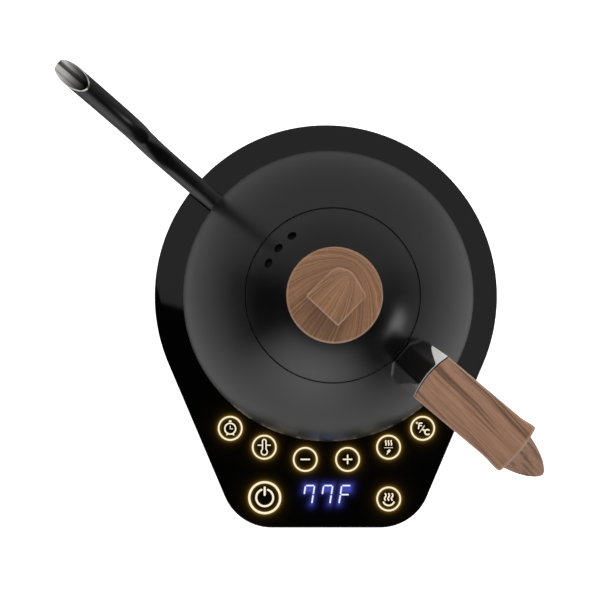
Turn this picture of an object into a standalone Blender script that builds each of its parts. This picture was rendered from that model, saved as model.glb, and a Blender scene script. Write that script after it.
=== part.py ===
"""Gooseneck electric kettle on a touch-key base.

Units are metres, +Z is up. The origin is on the dock's axis, on the surface that the base stands on.
The touch keys are toward -Y. The kettle is turned on its dock so that the spout points to SPOUT_AZIMUTH.
"""

import math

import bmesh
import bpy
from mathutils import Matrix, Vector

COLLECTION = "electric_kettle"
GAP = 0.0003

# Base outline: a circle that narrows along two tangent sides to a rounded front.
BASE_RADIUS = 0.095
BASE_FRONT = 0.1282
BASE_SIDE_ANGLE = math.radians(23.0)
BASE_CORNER_RADIUS = 0.0285
OUTLINE_STEP = math.radians(10.0)

# Base heights.
FOOT_HEIGHT = 0.0021
BASE_UNDERSIDE = 0.0015
COVER_TOP = 0.0040
DECK_UNDERSIDE = 0.0180
DECK_TOP = 0.0198
PANEL_UNDERSIDE = 0.0201
PANEL_TOP = 0.0220
BASE_WALL = 0.0022
COVER_INSET = 0.0026
FOOT_RADIUS = 0.0060
CORD_HEIGHT = 0.0112
FOOT_PLACES = ((0.055, 0.058), (-0.055, 0.058), (0.034, -0.106), (-0.034, -0.106))
BASE_SCREW_PLACES = ((0.062, 0.048), (-0.062, 0.048), (0.072, -0.048), (-0.072, -0.048))

# Touch keys.
KEY_ARC_CENTRE_X = 0.0003
KEY_ARC = (
    (-36.1, 0.0902), (-22.4, 0.0901), (-7.4, 0.0908), (7.4, 0.0908), (22.4, 0.0901), (36.1, 0.0902),
)
KEY_RADIUS = 0.0071
POWER_KEY = (-0.0338, -0.1112, 0.0094)
WARM_KEY = (0.0347, -0.1119, 0.0071)
KEY_GUIDE_WALL = 0.0016
KEY_GUIDE_MARGIN = 0.0003
DISPLAY_CENTRE = (0.0005, -0.1095)
DISPLAY_SIZE = (0.0300, 0.0140)

# Dock and connector.
DOCK_RADIUS = 0.0305
DOCK_TOP = 0.0270
WELL_RADIUS = 0.0135
WELL_FLOOR = 0.0150
POST_RADIUS = 0.0085
POST_BORE = 0.0043

# Kettle shell.
BELLY_RADIUS = 0.0743
BELLY_HEIGHT = 0.0550
WALL_BOTTOM = 0.0250
JOINT_RADIUS = 0.0384
JOINT_HEIGHT = 0.1380
JOINT_SLOPE = math.radians(50.0)
BODY_WALL = 0.0010
SEAT_HEIGHT = 0.1350
SEAT_RADIUS = 0.0381
MOUTH_RADIUS = 0.0350
NECK_BOTTOM = 0.1240
MOUTH_RING_WALL = 0.0009
PLATE_TOP = 0.0380
PLATE_THICKNESS = 0.0012
ELEMENT_RADIUS = 0.0040
ELEMENT_RING = 0.0450

# Lid.
LID_RADIUS = 0.0378
LID_CROWN = 0.1533
LID_FLAT_RADIUS = 0.0090
VENT_RADIUS = 0.00225
VENT_PLACE = 0.0313
VENT_HEIGHT = 0.1450
VENT_TILT = math.radians(42.0)
VENT_SPREAD = math.radians(14.4)
KNOB_RADIUS = 0.0200

# Spout and handle lie in one vertical plane through the axis.
SPOUT_AZIMUTH = math.radians(140.0)
HANDLE_AZIMUTH = SPOUT_AZIMUTH - math.pi
SPOUT_PATH = (
    (0.0640, 0.0495), (0.0780, 0.0515), (0.0915, 0.0565), (0.1025, 0.0660), (0.1090, 0.0800),
    (0.1115, 0.0960), (0.1135, 0.1110), (0.1190, 0.1270), (0.1295, 0.1405), (0.1439, 0.1500),
    (0.1600, 0.1600),
)
SPOUT_ROOT_RADIUS = 0.0050
SPOUT_TIP_RADIUS = 0.0048
SPOUT_WALL = 0.0007
SPOUT_MOUTH_HEIGHT = 0.1500
GRIP_HALF_WIDTH = 0.0113
GRIP_LIP_HALF_WIDTH = 0.0119
GRIP_LIP = 0.1010
GRIP_TAPER = 0.1120
GRIP_TIP = 0.1460
GRIP_CREST = 0.1440
STUD_CLEARANCE_RADIUS = 0.0028
STUD_HEIGHT = 0.1385

# name: (red, green, blue), metallic, roughness
FINISHES = {
    "satin_black": ((0.030, 0.030, 0.031), 0.0, 0.42),
    "gloss_black": ((0.004, 0.004, 0.004), 0.0, 0.06),
    "black_plastic": ((0.012, 0.012, 0.013), 0.0, 0.55),
    "steel": ((0.62, 0.61, 0.59), 1.0, 0.28),
    "brass": ((0.78, 0.60, 0.30), 1.0, 0.30),
    "walnut": ((0.26, 0.13, 0.075), 0.0, 0.55),
    "rubber": ((0.020, 0.020, 0.020), 0.0, 0.80),
    "silicone": ((0.45, 0.45, 0.44), 0.0, 0.60),
    "circuit_board": ((0.02, 0.14, 0.06), 0.0, 0.45),
    "light_guide": ((0.90, 0.82, 0.62), 0.0, 0.35),
    "component": ((0.05, 0.05, 0.06), 0.0, 0.45),
    "transformer": ((0.65, 0.50, 0.08), 0.0, 0.45),
    "terminal_green": ((0.05, 0.28, 0.12), 0.0, 0.45),
}


# ---------------------------------------------------------------- scene helpers

def clear_scene():
    for old in list(bpy.data.objects):
        bpy.data.objects.remove(old, do_unlink=True)


def make_collection(name):
    collection = bpy.data.collections.new(name)
    bpy.context.scene.collection.children.link(collection)
    return collection


def make_finishes():
    finishes = {}
    for name, (colour, metallic, roughness) in FINISHES.items():
        material = bpy.data.materials.new(name)
        material.use_nodes = True
        shader = material.node_tree.nodes["Principled BSDF"]
        shader.inputs["Base Color"].default_value = (*colour, 1.0)
        shader.inputs["Metallic"].default_value = metallic
        shader.inputs["Roughness"].default_value = roughness
        finishes[name] = material
    return finishes


clear_scene()
PARTS = make_collection(COLLECTION)
CUTTERS = make_collection("cutters")
MATERIALS = make_finishes()


def add_part(name, mesh, finish):
    """Links a mesh as a named part, or as a cutter when finish is None."""
    part = bpy.data.objects.new(name, mesh)
    if finish is None:
        part.hide_render = True
        part.display_type = 'WIRE'
        CUTTERS.objects.link(part)
        return part
    mesh.materials.clear()
    mesh.materials.append(MATERIALS[finish])
    PARTS.objects.link(part)
    return part


def smooth(mesh, angle=35.0):
    mesh.shade_smooth()
    mesh.set_sharp_from_angle(angle=math.radians(angle))


def boolean(part, cutter, operation='DIFFERENCE'):
    modifier = part.modifiers.new(cutter.name, 'BOOLEAN')
    modifier.operation = operation
    modifier.object = cutter
    modifier.solver = 'EXACT'


def bevel(part, width, segments=1, angle=40.0):
    modifier = part.modifiers.new("edges", 'BEVEL')
    modifier.width = width
    modifier.segments = segments
    modifier.limit_method = 'ANGLE'
    modifier.angle_limit = math.radians(angle)


def at_azimuth(azimuth, distance, height=0.0):
    return Vector((distance * math.cos(azimuth), distance * math.sin(azimuth), height))


# ---------------------------------------------------------------- shape helpers

def revolve(name, profile, segments, finish, closed=True):
    """Turns (radius, height) points about Z. A profile runs down its outer side."""
    mesh = bpy.data.meshes.new(name)
    edges = [(i, i + 1) for i in range(len(profile) - 1)]
    if closed:
        edges.append((len(profile) - 1, 0))
    mesh.from_pydata([(radius, 0.0, height) for radius, height in profile], edges, [])
    part = add_part(name, mesh, finish)
    screw = part.modifiers.new("turn", 'SCREW')
    screw.axis = 'Z'
    screw.angle = 2.0 * math.pi
    screw.steps = segments
    screw.render_steps = segments
    screw.use_merge_vertices = True
    screw.merge_threshold = 0.00001
    screw.use_smooth_shade = True
    return part


def cylinder(name, radius, bottom, top, place, segments, finish):
    """An upright cylinder at place (x, y)."""
    mesh = bpy.data.meshes.new(name)
    body = bmesh.new()
    bmesh.ops.create_cone(
        body, cap_ends=True, segments=segments, radius1=radius, radius2=radius, depth=top - bottom,
    )
    bmesh.ops.translate(body, verts=body.verts, vec=(0.0, 0.0, (top + bottom) / 2.0))
    body.to_mesh(mesh)
    body.free()
    part = add_part(name, mesh, finish)
    part.location = (place[0], place[1], 0.0)
    return part


def rod(name, radius, start, end, segments, finish, end_radius=None):
    """A cylinder or cone between two points."""
    start = Vector(start)
    end = Vector(end)
    mesh = bpy.data.meshes.new(name)
    body = bmesh.new()
    bmesh.ops.create_cone(
        body, cap_ends=True, segments=segments, radius1=radius,
        radius2=end_radius or radius, depth=(end - start).length,
    )
    body.to_mesh(mesh)
    body.free()
    part = add_part(name, mesh, finish)
    part.location = (start + end) / 2.0
    part.rotation_euler = (end - start).to_track_quat('Z', 'Y').to_euler()
    return part


def box(name, low, high, finish):
    mesh = bpy.data.meshes.new(name)
    body = bmesh.new()
    bmesh.ops.create_cube(body, size=1.0)
    size = Vector(high) - Vector(low)
    bmesh.ops.scale(body, verts=body.verts, vec=size)
    body.to_mesh(mesh)
    body.free()
    part = add_part(name, mesh, finish)
    part.location = (Vector(high) + Vector(low)) / 2.0
    return part


def plate(name, outline, bottom, top, finish):
    """A flat closed outline of (x, y) points, made solid from bottom to top."""
    curve = bpy.data.curves.new(name, 'CURVE')
    curve.dimensions = '2D'
    curve.fill_mode = 'BOTH'
    curve.extrude = (top - bottom) / 2.0
    spline = curve.splines.new('POLY')
    spline.points.add(len(outline) - 1)
    for point, (x, y) in zip(spline.points, outline):
        point.co = (x, y, 0.0, 1.0)
    spline.use_cyclic_u = True
    mesh = mesh_from_curve(name, curve)
    part = add_part(name, mesh, finish)
    part.location = (0.0, 0.0, (top + bottom) / 2.0)
    return part


def mesh_from_curve(name, curve):
    """Turns a curve into a welded mesh and removes the curve."""
    guide = bpy.data.objects.new(name + "_guide", curve)
    PARTS.objects.link(guide)
    bpy.context.view_layer.update()
    evaluated = guide.evaluated_get(bpy.context.evaluated_depsgraph_get())
    mesh = bpy.data.meshes.new_from_object(evaluated)
    mesh.name = name
    bpy.data.objects.remove(guide, do_unlink=True)
    body = bmesh.new()
    body.from_mesh(mesh)
    bmesh.ops.remove_doubles(body, verts=body.verts, dist=0.00001)
    bmesh.ops.recalc_face_normals(body, faces=body.faces)
    body.to_mesh(mesh)
    body.free()
    return mesh


def tube(name, path, radii, resolution, finish, caps=True):
    """A round tube or rod along 3D points, with one radius per point."""
    curve = bpy.data.curves.new(name, 'CURVE')
    curve.dimensions = '3D'
    curve.bevel_depth = 1.0
    curve.bevel_resolution = resolution
    curve.use_fill_caps = caps
    spline = curve.splines.new('POLY')
    spline.points.add(len(path) - 1)
    for point, place, radius in zip(spline.points, path, radii):
        point.co = (*place, 1.0)
        point.radius = radius
    return add_part(name, mesh_from_curve(name, curve), finish)


def bezier(start, pull_start, pull_end, end, count):
    """Points along a cubic curve, both ends included."""
    points = []
    for step in range(count + 1):
        t = step / count
        s = 1.0 - t
        weights = (s ** 3, 3.0 * s * s * t, 3.0 * s * t * t, t ** 3)
        corners = (start, pull_start, pull_end, end)
        points.append(tuple(
            sum(weight * corner[axis] for weight, corner in zip(weights, corners))
            for axis in range(len(start))
        ))
    return points


def smooth_path(points, steps):
    """Catmull-Rom points through a list of points."""
    ends = [points[0]] + list(points) + [points[-1]]
    path = []
    for index in range(1, len(ends) - 2):
        before, start, end, after = (Vector(ends[index + k]) for k in (-1, 0, 1, 2))
        for step in range(steps):
            t = step / steps
            path.append(
                0.5 * (
                    2.0 * start + (end - before) * t
                    + (2.0 * before - 5.0 * start + 4.0 * end - after) * t ** 2
                    + (3.0 * start - before - 3.0 * end + after) * t ** 3
                )
            )
    path.append(Vector(points[-1]))
    return path


def arc(centre, radius, start, end, step):
    count = max(1, round(abs(end - start) / step))
    return [
        (
            centre[0] + radius * math.cos(start + (end - start) * i / count),
            centre[1] + radius * math.sin(start + (end - start) * i / count),
        )
        for i in range(count + 1)
    ]


def base_outline(inset=0.0):
    """The base seen from above, drawn inward by inset."""
    side = BASE_SIDE_ANGLE
    corner_y = -(BASE_FRONT - BASE_CORNER_RADIUS)
    reach = BASE_RADIUS - BASE_CORNER_RADIUS + corner_y * math.sin(side)
    corner_x = reach / math.cos(side)
    step = OUTLINE_STEP
    corner = BASE_CORNER_RADIUS - inset
    points = arc((0.0, 0.0), BASE_RADIUS - inset, -side, math.pi + side, step)
    points += arc((-corner_x, corner_y), corner, math.pi + side, 1.5 * math.pi, step)
    points += arc((corner_x, corner_y), corner, -0.5 * math.pi, -side, step)
    return points


def key_places():
    """Centre and ring radius of every touch key."""
    places = []
    for degrees, radius in KEY_ARC:
        angle = math.radians(degrees)
        x = KEY_ARC_CENTRE_X + radius * math.sin(angle)
        y = -radius * math.cos(angle)
        places.append((x, y, KEY_RADIUS))
    places.append(POWER_KEY)
    places.append(WARM_KEY)
    return places


def dome_profile(count=8):
    """The kettle's outer dome, from the lid joint down to the widest point."""
    joint = (JOINT_RADIUS, JOINT_HEIGHT)
    pull = 0.0320
    return bezier(
        joint,
        (joint[0] + pull * math.cos(JOINT_SLOPE), joint[1] - pull * math.sin(JOINT_SLOPE)),
        (BELLY_RADIUS, BELLY_HEIGHT + 0.0290),
        (BELLY_RADIUS, BELLY_HEIGHT),
        count,
    )


def wall_profile():
    """The kettle's outer wall below the widest point."""
    return [(0.0741, 0.0450), (0.0733, 0.0340), (0.0725, 0.0290), (0.0714, 0.0262), (0.0700, WALL_BOTTOM)]


def lid_profile(count=5):
    """The lid's outer surface, from the flat crown down to its edge."""
    edge = (LID_RADIUS, JOINT_HEIGHT + 0.0003)
    pull = 0.0160
    return bezier(
        (LID_FLAT_RADIUS, LID_CROWN),
        (0.0205, LID_CROWN),
        (edge[0] - pull * math.cos(JOINT_SLOPE), edge[1] + pull * math.sin(JOINT_SLOPE)),
        edge,
        count,
    )


def offset_inward(profile, distance):
    """A profile moved by distance toward the inside."""
    moved = []
    for index, point in enumerate(profile):
        before = Vector(profile[max(0, index - 1)])
        after = Vector(profile[min(len(profile) - 1, index + 1)])
        along = (after - before).normalized()
        inward = Vector((along.y, -along.x))
        moved.append(tuple(Vector(point) + inward * distance))
    return moved


# ---------------------------------------------------------------- base

def make_base_housing():
    housing = plate("base_housing", base_outline(), BASE_UNDERSIDE, DECK_TOP, "black_plastic")
    bevel(housing, 0.0006)
    inside = plate("housing_inside", base_outline(BASE_WALL), -0.001, DECK_UNDERSIDE, None)
    boolean(housing, inside)
    dock_hole = cylinder("housing_dock_hole", DOCK_RADIUS + 0.0007, 0.010, 0.030, (0, 0), 32, None)
    boolean(housing, dock_hole)
    for index, (x, y, radius) in enumerate(key_places()):
        hole_radius = radius + KEY_GUIDE_MARGIN + GAP
        hole = cylinder(f"housing_key_hole_{index}", hole_radius, 0.010, 0.030, (x, y), 16, None)
        boolean(housing, hole)
    half = [side / 2.0 + 0.0005 for side in DISPLAY_SIZE]
    x, y = DISPLAY_CENTRE
    low = (x - half[0], y - half[1], 0.010)
    high = (x + half[0], y + half[1], 0.030)
    window = box("housing_window", low, high, None)
    boolean(housing, window)
    cord_hole = rod("housing_cord_hole", 0.0058, (0, 0.085, CORD_HEIGHT), (0, 0.099, CORD_HEIGHT), 16, None)
    boolean(housing, cord_hole)
    for index, place in enumerate(BASE_SCREW_PLACES):
        boss = cylinder(f"housing_boss_{index}", 0.0040, 0.0043, 0.0185, place, 10, None)
        boolean(housing, boss, 'UNION')
        pilot = cylinder(f"housing_pilot_{index}", 0.0019, 0.0010, 0.0150, place, 8, None)
        boolean(housing, pilot)


def make_touch_panel():
    panel = plate("touch_panel", base_outline(0.0003), PANEL_UNDERSIDE, PANEL_TOP, "gloss_black")
    bevel(panel, 0.0005)
    hole = cylinder("panel_dock_hole", DOCK_RADIUS + 0.0007, 0.015, 0.030, (0, 0), 40, None)
    boolean(panel, hole)


def make_bottom_cover():
    cover = plate("base_bottom_cover", base_outline(COVER_INSET), BASE_UNDERSIDE, COVER_TOP, "black_plastic")
    for index, place in enumerate(FOOT_PLACES):
        pocket = cylinder(f"foot_pocket_{index}", FOOT_RADIUS + 0.0005, -0.001, 0.0024, place, 16, None)
        boolean(cover, pocket)
    for index, place in enumerate(BASE_SCREW_PLACES):
        boolean(cover, cylinder(f"screw_recess_{index}", 0.0032, -0.001, 0.0030, place, 12, None))
        boolean(cover, cylinder(f"screw_hole_{index}", 0.0019, -0.001, 0.006, place, 8, None))
    for index, (x, y) in enumerate(((0.034, 0.044), (-0.034, 0.044), (0.034, 0.072), (-0.034, 0.072))):
        boolean(cover, cylinder(f"board_post_{index}", 0.0030, 0.0030, 0.0057, (x, y), 8, None), 'UNION')


def make_feet():
    for index, place in enumerate(FOOT_PLACES, start=1):
        foot = cylinder(f"foot_{index}", FOOT_RADIUS, 0.0, FOOT_HEIGHT, place, 16, "rubber")
        bevel(foot, 0.0004)


def make_base_screws():
    profile = [
        (0.0, 0.0120), (0.0014, 0.0115), (0.0014, 0.0027), (0.0027, 0.0027), (0.0027, 0.0019),
        (0.0022, 0.0016), (0.0, 0.0016),
    ]
    for index, place in enumerate(BASE_SCREW_PLACES, start=1):
        screw = revolve(f"base_screw_{index}", profile, 8, "steel", closed=False)
        screw.location = (place[0], place[1], 0.0)


def make_dock():
    profile = [
        (0.0, WELL_FLOOR), (POST_BORE, WELL_FLOOR), (POST_BORE, 0.0255), (POST_RADIUS, 0.0255),
        (POST_RADIUS, WELL_FLOOR), (WELL_RADIUS, WELL_FLOOR), (WELL_RADIUS, DOCK_TOP), (0.0288, DOCK_TOP),
        (0.0300, 0.0265), (DOCK_RADIUS, 0.0252), (DOCK_RADIUS, 0.0177), (0.0345, 0.0177), (0.0345, 0.0160),
        (0.0300, 0.0160), (0.0300, 0.0120), (0.0, 0.0120),
    ]
    revolve("base_socket", profile, 28, "black_plastic", closed=False)
    ring = [(0.0128, 0.0178), (0.0128, 0.0153), (0.0092, 0.0153), (0.0092, 0.0178)]
    revolve("socket_ring_contact", ring, 24, "brass")
    cylinder("socket_pin_contact", 0.0038, 0.0153, 0.0182, (0, 0), 16, "brass")


def make_cord_inlet():
    profile = [
        (0.0055, 0.0948), (0.0055, 0.0918), (0.0065, 0.0918), (0.0065, 0.0895), (0.0036, 0.0895),
        (0.0036, 0.0948),
    ]
    inlet = revolve("cord_inlet", profile, 16, "rubber")
    inlet.rotation_euler = (-math.pi / 2.0, 0.0, 0.0)
    inlet.location = (0.0, 0.0, CORD_HEIGHT)


def make_key_lights():
    for index, (x, y, radius) in enumerate(key_places(), start=1):
        outer = radius + KEY_GUIDE_MARGIN
        inner = radius - KEY_GUIDE_WALL
        profile = [(outer, DECK_TOP), (outer, 0.0139), (inner, 0.0139), (inner, DECK_TOP)]
        guide = revolve(f"key_light_guide_{index}", profile, 14, "light_guide")
        guide.location = (x, y, 0.0)


def make_control_electronics():
    right_half = [(0.064, -0.062), (0.047, -0.115), (0.038, -0.122)]
    outline = right_half + [(-x, y) for x, y in right_half[::-1]]
    plate("control_board", outline, 0.0120, 0.0136, "circuit_board")
    x, y = DISPLAY_CENTRE
    half_x = DISPLAY_SIZE[0] / 2.0
    half_y = DISPLAY_SIZE[1] / 2.0
    low = (x - half_x, y - half_y, 0.0139)
    high = (x + half_x, y + half_y, 0.0197)
    display = box("display_module", low, high, "component")
    bevel(display, 0.0004)


def make_power_electronics():
    board_top = 0.0079
    box("power_board", (-0.038, 0.040, 0.0060), (0.038, 0.078, 0.0076), "circuit_board")
    bevel(box("relay", (-0.030, 0.056, board_top), (-0.010, 0.072, 0.0174), "component"), 0.0005)
    bevel(box("transformer", (-0.004, 0.052, board_top), (0.018, 0.072, 0.0176), "transformer"), 0.0008)
    cylinder("filter_capacitor", 0.0050, board_top, 0.0174, (0.027, 0.068), 16, "component")
    cylinder("buzzer", 0.0055, board_top, 0.0140, (0.028, 0.051), 16, "component")
    terminals = box("terminal_block", (-0.030, 0.043, board_top), (-0.014, 0.052, 0.0160), "terminal_green")
    bevel(terminals, 0.0004)


# ---------------------------------------------------------------- connector

def make_connector():
    profile = [
        (0.0200, 0.0316), (0.0200, 0.0296), (0.0128, 0.0296), (0.0128, 0.0185), (0.0092, 0.0185),
        (0.0092, 0.0296), (0.0038, 0.0296), (0.0038, 0.0316),
    ]
    revolve("kettle_connector", profile, 24, "black_plastic")
    pin = [
        (0.0, 0.0330), (0.0050, 0.0330), (0.0050, 0.0319), (0.0034, 0.0319), (0.0034, 0.0196),
        (0.0026, 0.0188), (0.0, 0.0188),
    ]
    revolve("connector_pin", pin, 12, "brass", closed=False)


# ---------------------------------------------------------------- kettle

def make_envelope():
    """The kettle's outer form, a little larger: it trims what meets the shell."""
    dome = offset_inward(dome_profile(), -GAP)
    profile = [(0.0, 0.190), (0.0394, 0.190), (0.0394, 0.1395)] + dome[1:]
    profile += [(BELLY_RADIUS + GAP, 0.030), (0.0, 0.030)]
    return revolve("kettle_envelope", profile, 36, None, closed=False)


def make_kettle_body():
    skin = dome_profile() + wall_profile()
    inside = [
        point for point in offset_inward(skin, BODY_WALL)
        if point[0] > SEAT_RADIUS + BODY_WALL and point[1] > WALL_BOTTOM
    ]
    inside.insert(0, (SEAT_RADIUS, JOINT_HEIGHT - 0.0006))
    inside.append((offset_inward(skin, BODY_WALL)[-1][0], WALL_BOTTOM))
    body = revolve("kettle_body", skin + inside[::-1], 36, "satin_black")
    bore = rod(
        "spout_hole", SPOUT_ROOT_RADIUS - SPOUT_WALL - 0.0002,
        at_azimuth(SPOUT_AZIMUTH, 0.060, 0.0490), at_azimuth(SPOUT_AZIMUTH, 0.082, 0.0521), 20, None,
    )
    boolean(body, bore)


def make_mouth_ring():
    """The ring inside the shell's upper edge: the lid rests above its step, and its collar guides the lid."""
    wall = MOUTH_RING_WALL
    floor = SEAT_HEIGHT - wall
    outside = SEAT_RADIUS + wall
    profile = [
        (SEAT_RADIUS + GAP, SEAT_HEIGHT + wall), (outside, SEAT_HEIGHT + 0.0002), (outside, floor),
        (MOUTH_RADIUS + wall, floor), (MOUTH_RADIUS + wall, NECK_BOTTOM), (MOUTH_RADIUS, NECK_BOTTOM),
        (MOUTH_RADIUS, SEAT_HEIGHT), (SEAT_RADIUS, SEAT_HEIGHT), (SEAT_RADIUS, SEAT_HEIGHT + wall),
    ]
    revolve("mouth_ring", profile, 32, "steel")


def make_heater():
    rim = 0.0722
    profile = [
        (0.0, PLATE_TOP), (rim - 0.0007, PLATE_TOP), (rim, PLATE_TOP - 0.0006), (rim - 0.0006, 0.0330),
        (rim - 0.0018, 0.0330), (rim - 0.0014, PLATE_TOP - PLATE_THICKNESS),
        (0.0, PLATE_TOP - PLATE_THICKNESS),
    ]
    heater = revolve("heater_plate", profile, 28, "steel", closed=False)
    boolean(heater, cylinder("sensor_hole", 0.0033, 0.030, 0.045, (0.0, -0.030), 16, None))
    for index in range(3):
        place = at_azimuth(math.radians(90.0 + 120.0 * index), 0.056)
        boolean(heater, cylinder(f"plate_boss_{index}", 0.0035, 0.0285, 0.0372, place, 10, None), 'UNION')
        boolean(heater, cylinder(f"plate_pilot_{index}", 0.0020, 0.0270, 0.0352, place, 8, None))
    underside = PLATE_TOP - PLATE_THICKNESS
    height = underside - GAP - ELEMENT_RADIUS
    angles = [math.radians(-70.0 + 320.0 * i / 26) for i in range(27)]
    path = [at_azimuth(angle, ELEMENT_RING, height) for angle in angles]
    tube("heating_element", path, [ELEMENT_RADIUS] * len(path), 2, "steel")
    for index, angle in enumerate((-82.0, -98.0), start=1):
        place = at_azimuth(math.radians(angle), ELEMENT_RING)
        cylinder(f"element_terminal_{index}", 0.0022, 0.0290, underside - GAP, place, 12, "brass")
    sensor = [
        (0.0, 0.0430), (0.0022, 0.0430), (0.0030, 0.0422), (0.0030, 0.0362), (0.0055, 0.0362),
        (0.0055, 0.0340), (0.0030, 0.0340), (0.0030, 0.0325), (0.0, 0.0325),
    ]
    revolve("temperature_sensor", sensor, 10, "steel", closed=False).location = (0.0, -0.030, 0.0)
    bevel(cylinder("thermal_cutout", 0.0080, 0.0325, 0.0364, (0.0, 0.0305), 20, "component"), 0.0005)


def make_kettle_bottom_cover():
    recess = DOCK_RADIUS + 0.0013
    profile = [
        (0.0683, 0.0300), (0.0683, 0.0243), (0.0676, 0.0235), (recess, 0.0235), (recess, DOCK_TOP + GAP),
        (0.0143, DOCK_TOP + GAP), (0.0143, 0.0293), (recess + 0.0020, 0.0293), (recess + 0.0020, 0.0255),
        (0.0663, 0.0255), (0.0663, 0.0300),
    ]
    cover = revolve("kettle_bottom_cover", profile, 32, "black_plastic")
    screw = [
        (0.0, 0.0335), (0.0013, 0.0332), (0.0015, 0.0328), (0.0015, 0.0244), (0.0029, 0.0244),
        (0.0029, 0.0239), (0.0024, 0.0237), (0.0, 0.0237),
    ]
    for index in range(3):
        place = at_azimuth(math.radians(90.0 + 120.0 * index), 0.056)
        boolean(cover, cylinder(f"cover_recess_{index}", 0.0033, 0.0220, 0.0247, place, 12, None))
        boolean(cover, cylinder(f"cover_hole_{index}", 0.0020, 0.0220, 0.0270, place, 8, None))
        revolve(f"cover_screw_{index + 1}", screw, 8, "steel", closed=False).location = place


def make_spout(envelope):
    path = smooth_path([(radius, 0.0, height) for radius, height in SPOUT_PATH], 3)
    turn = Matrix.Rotation(SPOUT_AZIMUTH, 3, 'Z')
    radii = []
    for point in path:
        share = min(1.0, max(0.0, (point.z - 0.070) / 0.060))
        radii.append(SPOUT_ROOT_RADIUS + (SPOUT_TIP_RADIUS - SPOUT_ROOT_RADIUS) * share)
    spout = tube("spout", [turn @ point for point in path], radii, 4, "satin_black", caps=False)
    wall = spout.modifiers.new("wall", 'SOLIDIFY')
    wall.thickness = SPOUT_WALL
    wall.offset = -1.0
    boolean(spout, envelope)
    boolean(spout, box("spout_cut", (-0.2, 0.05, SPOUT_MOUTH_HEIGHT), (-0.05, 0.2, 0.2), None))


def side_plate(name, outline, half_width, finish):
    """An outline of (distance, height) points in the handle's plane, made solid across it."""
    part = plate(name, outline, -half_width, half_width, finish)
    part.data.transform(Matrix.Rotation(HANDLE_AZIMUTH, 4, 'Z') @ Matrix.Rotation(math.pi / 2.0, 4, 'X'))
    return part


def grip_outline():
    """The grip from the side, clockwise from the front of its crest."""
    points = [(0.0542, 0.1500), (0.0760, 0.1503)]
    points += bezier((0.0960, 0.1505), (0.0990, 0.1505), (0.1010, 0.1502), (0.1012, 0.1485), 3)
    points += bezier((0.1005, 0.1455), (0.0985, 0.1410), (0.0975, 0.1330), (0.0982, 0.1240), 4)
    points += bezier((0.0995, 0.1120), (0.1030, 0.0880), (0.1180, 0.0700), (0.1420, 0.0570), 7)
    points += bezier((0.1440, 0.0550), (0.1452, 0.0530), (0.1450, 0.0495), (0.1425, 0.0485), 3)
    points += bezier((0.1360, 0.0480), (0.1150, 0.0520), (0.0960, 0.0700), (0.0900, 0.0940), 7)
    points += bezier((0.0890, 0.1040), (0.0860, 0.1180), (0.0780, 0.1270), (0.0584, 0.1275), 6)
    return points


def shape_grip_width(mesh):
    """Flares the crest to its lip and narrows the lower part to a rounded tip."""
    for vertex in mesh.vertices:
        distance, across, height = vertex.co
        if height > GRIP_CREST:
            share = max(0.0, distance - 0.085) / (GRIP_LIP - 0.085)
            width = 1.0 + (GRIP_LIP_HALF_WIDTH / GRIP_HALF_WIDTH - 1.0) * min(1.0, share)
        else:
            share = min(1.0, max(0.0, (distance - GRIP_TAPER) / (GRIP_TIP - GRIP_TAPER)))
            width = 0.98 * (1.0 - share ** 2) ** 0.6
        vertex.co.y = across * width


def make_handle(envelope):
    direction = at_azimuth(HANDLE_AZIMUTH, 1.0)
    up = Vector((0.0, 0.0, 1.0))

    def place(distance, height):
        return direction * distance + up * height

    bracket = rod(
        "handle_bracket", 0.0086, place(0.034, 0.1225), place(0.066, 0.1449), 28, "satin_black",
        end_radius=0.0112,
    )
    boolean(bracket, envelope)
    beyond_neck = [(0.0466, 0.100), (0.0466, 0.134), (0.0600, 0.166), (0.120, 0.166), (0.120, 0.100)]
    stop = side_plate("bracket_stop", beyond_neck, 0.03, None)
    boolean(bracket, stop)
    clearance = STUD_CLEARANCE_RADIUS
    bore = rod("bracket_bore", clearance, place(0.0455, STUD_HEIGHT), place(0.070, STUD_HEIGHT), 16, None)
    boolean(bracket, bore)

    wedge = [(0.0535, 0.1497), (0.0469, 0.1340), (0.0490, 0.1280), (0.0580, 0.1280), (0.0539, 0.1497)]
    ferrule = side_plate("handle_ferrule", wedge, GRIP_HALF_WIDTH, "steel")
    bore = rod("ferrule_bore", clearance, place(0.040, STUD_HEIGHT), place(0.070, STUD_HEIGHT), 16, None)
    boolean(ferrule, bore)

    grip = plate("handle_grip", grip_outline(), -GRIP_HALF_WIDTH, GRIP_HALF_WIDTH, "walnut")
    grip.data.transform(Matrix.Rotation(math.pi / 2.0, 4, 'X'))
    shape_grip_width(grip.data)
    grip.data.transform(Matrix.Rotation(HANDLE_AZIMUTH, 4, 'Z'))
    bevel(grip, 0.0012, segments=2, angle=50.0)
    bore = rod("insert_bore", 0.0045, place(0.050, STUD_HEIGHT), place(0.0765, STUD_HEIGHT), 20, None)
    boolean(grip, bore)

    rod("handle_stud", 0.0024, place(0.0462, STUD_HEIGHT), place(0.0750, STUD_HEIGHT), 14, "steel")
    insert = rod("handle_insert", 0.0042, place(0.0600, STUD_HEIGHT), place(0.0762, STUD_HEIGHT), 20, "brass")
    bore = rod("thread_bore", 0.0027, place(0.0550, STUD_HEIGHT), place(0.0755, STUD_HEIGHT), 14, None)
    boolean(insert, bore)


# ---------------------------------------------------------------- lid

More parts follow.
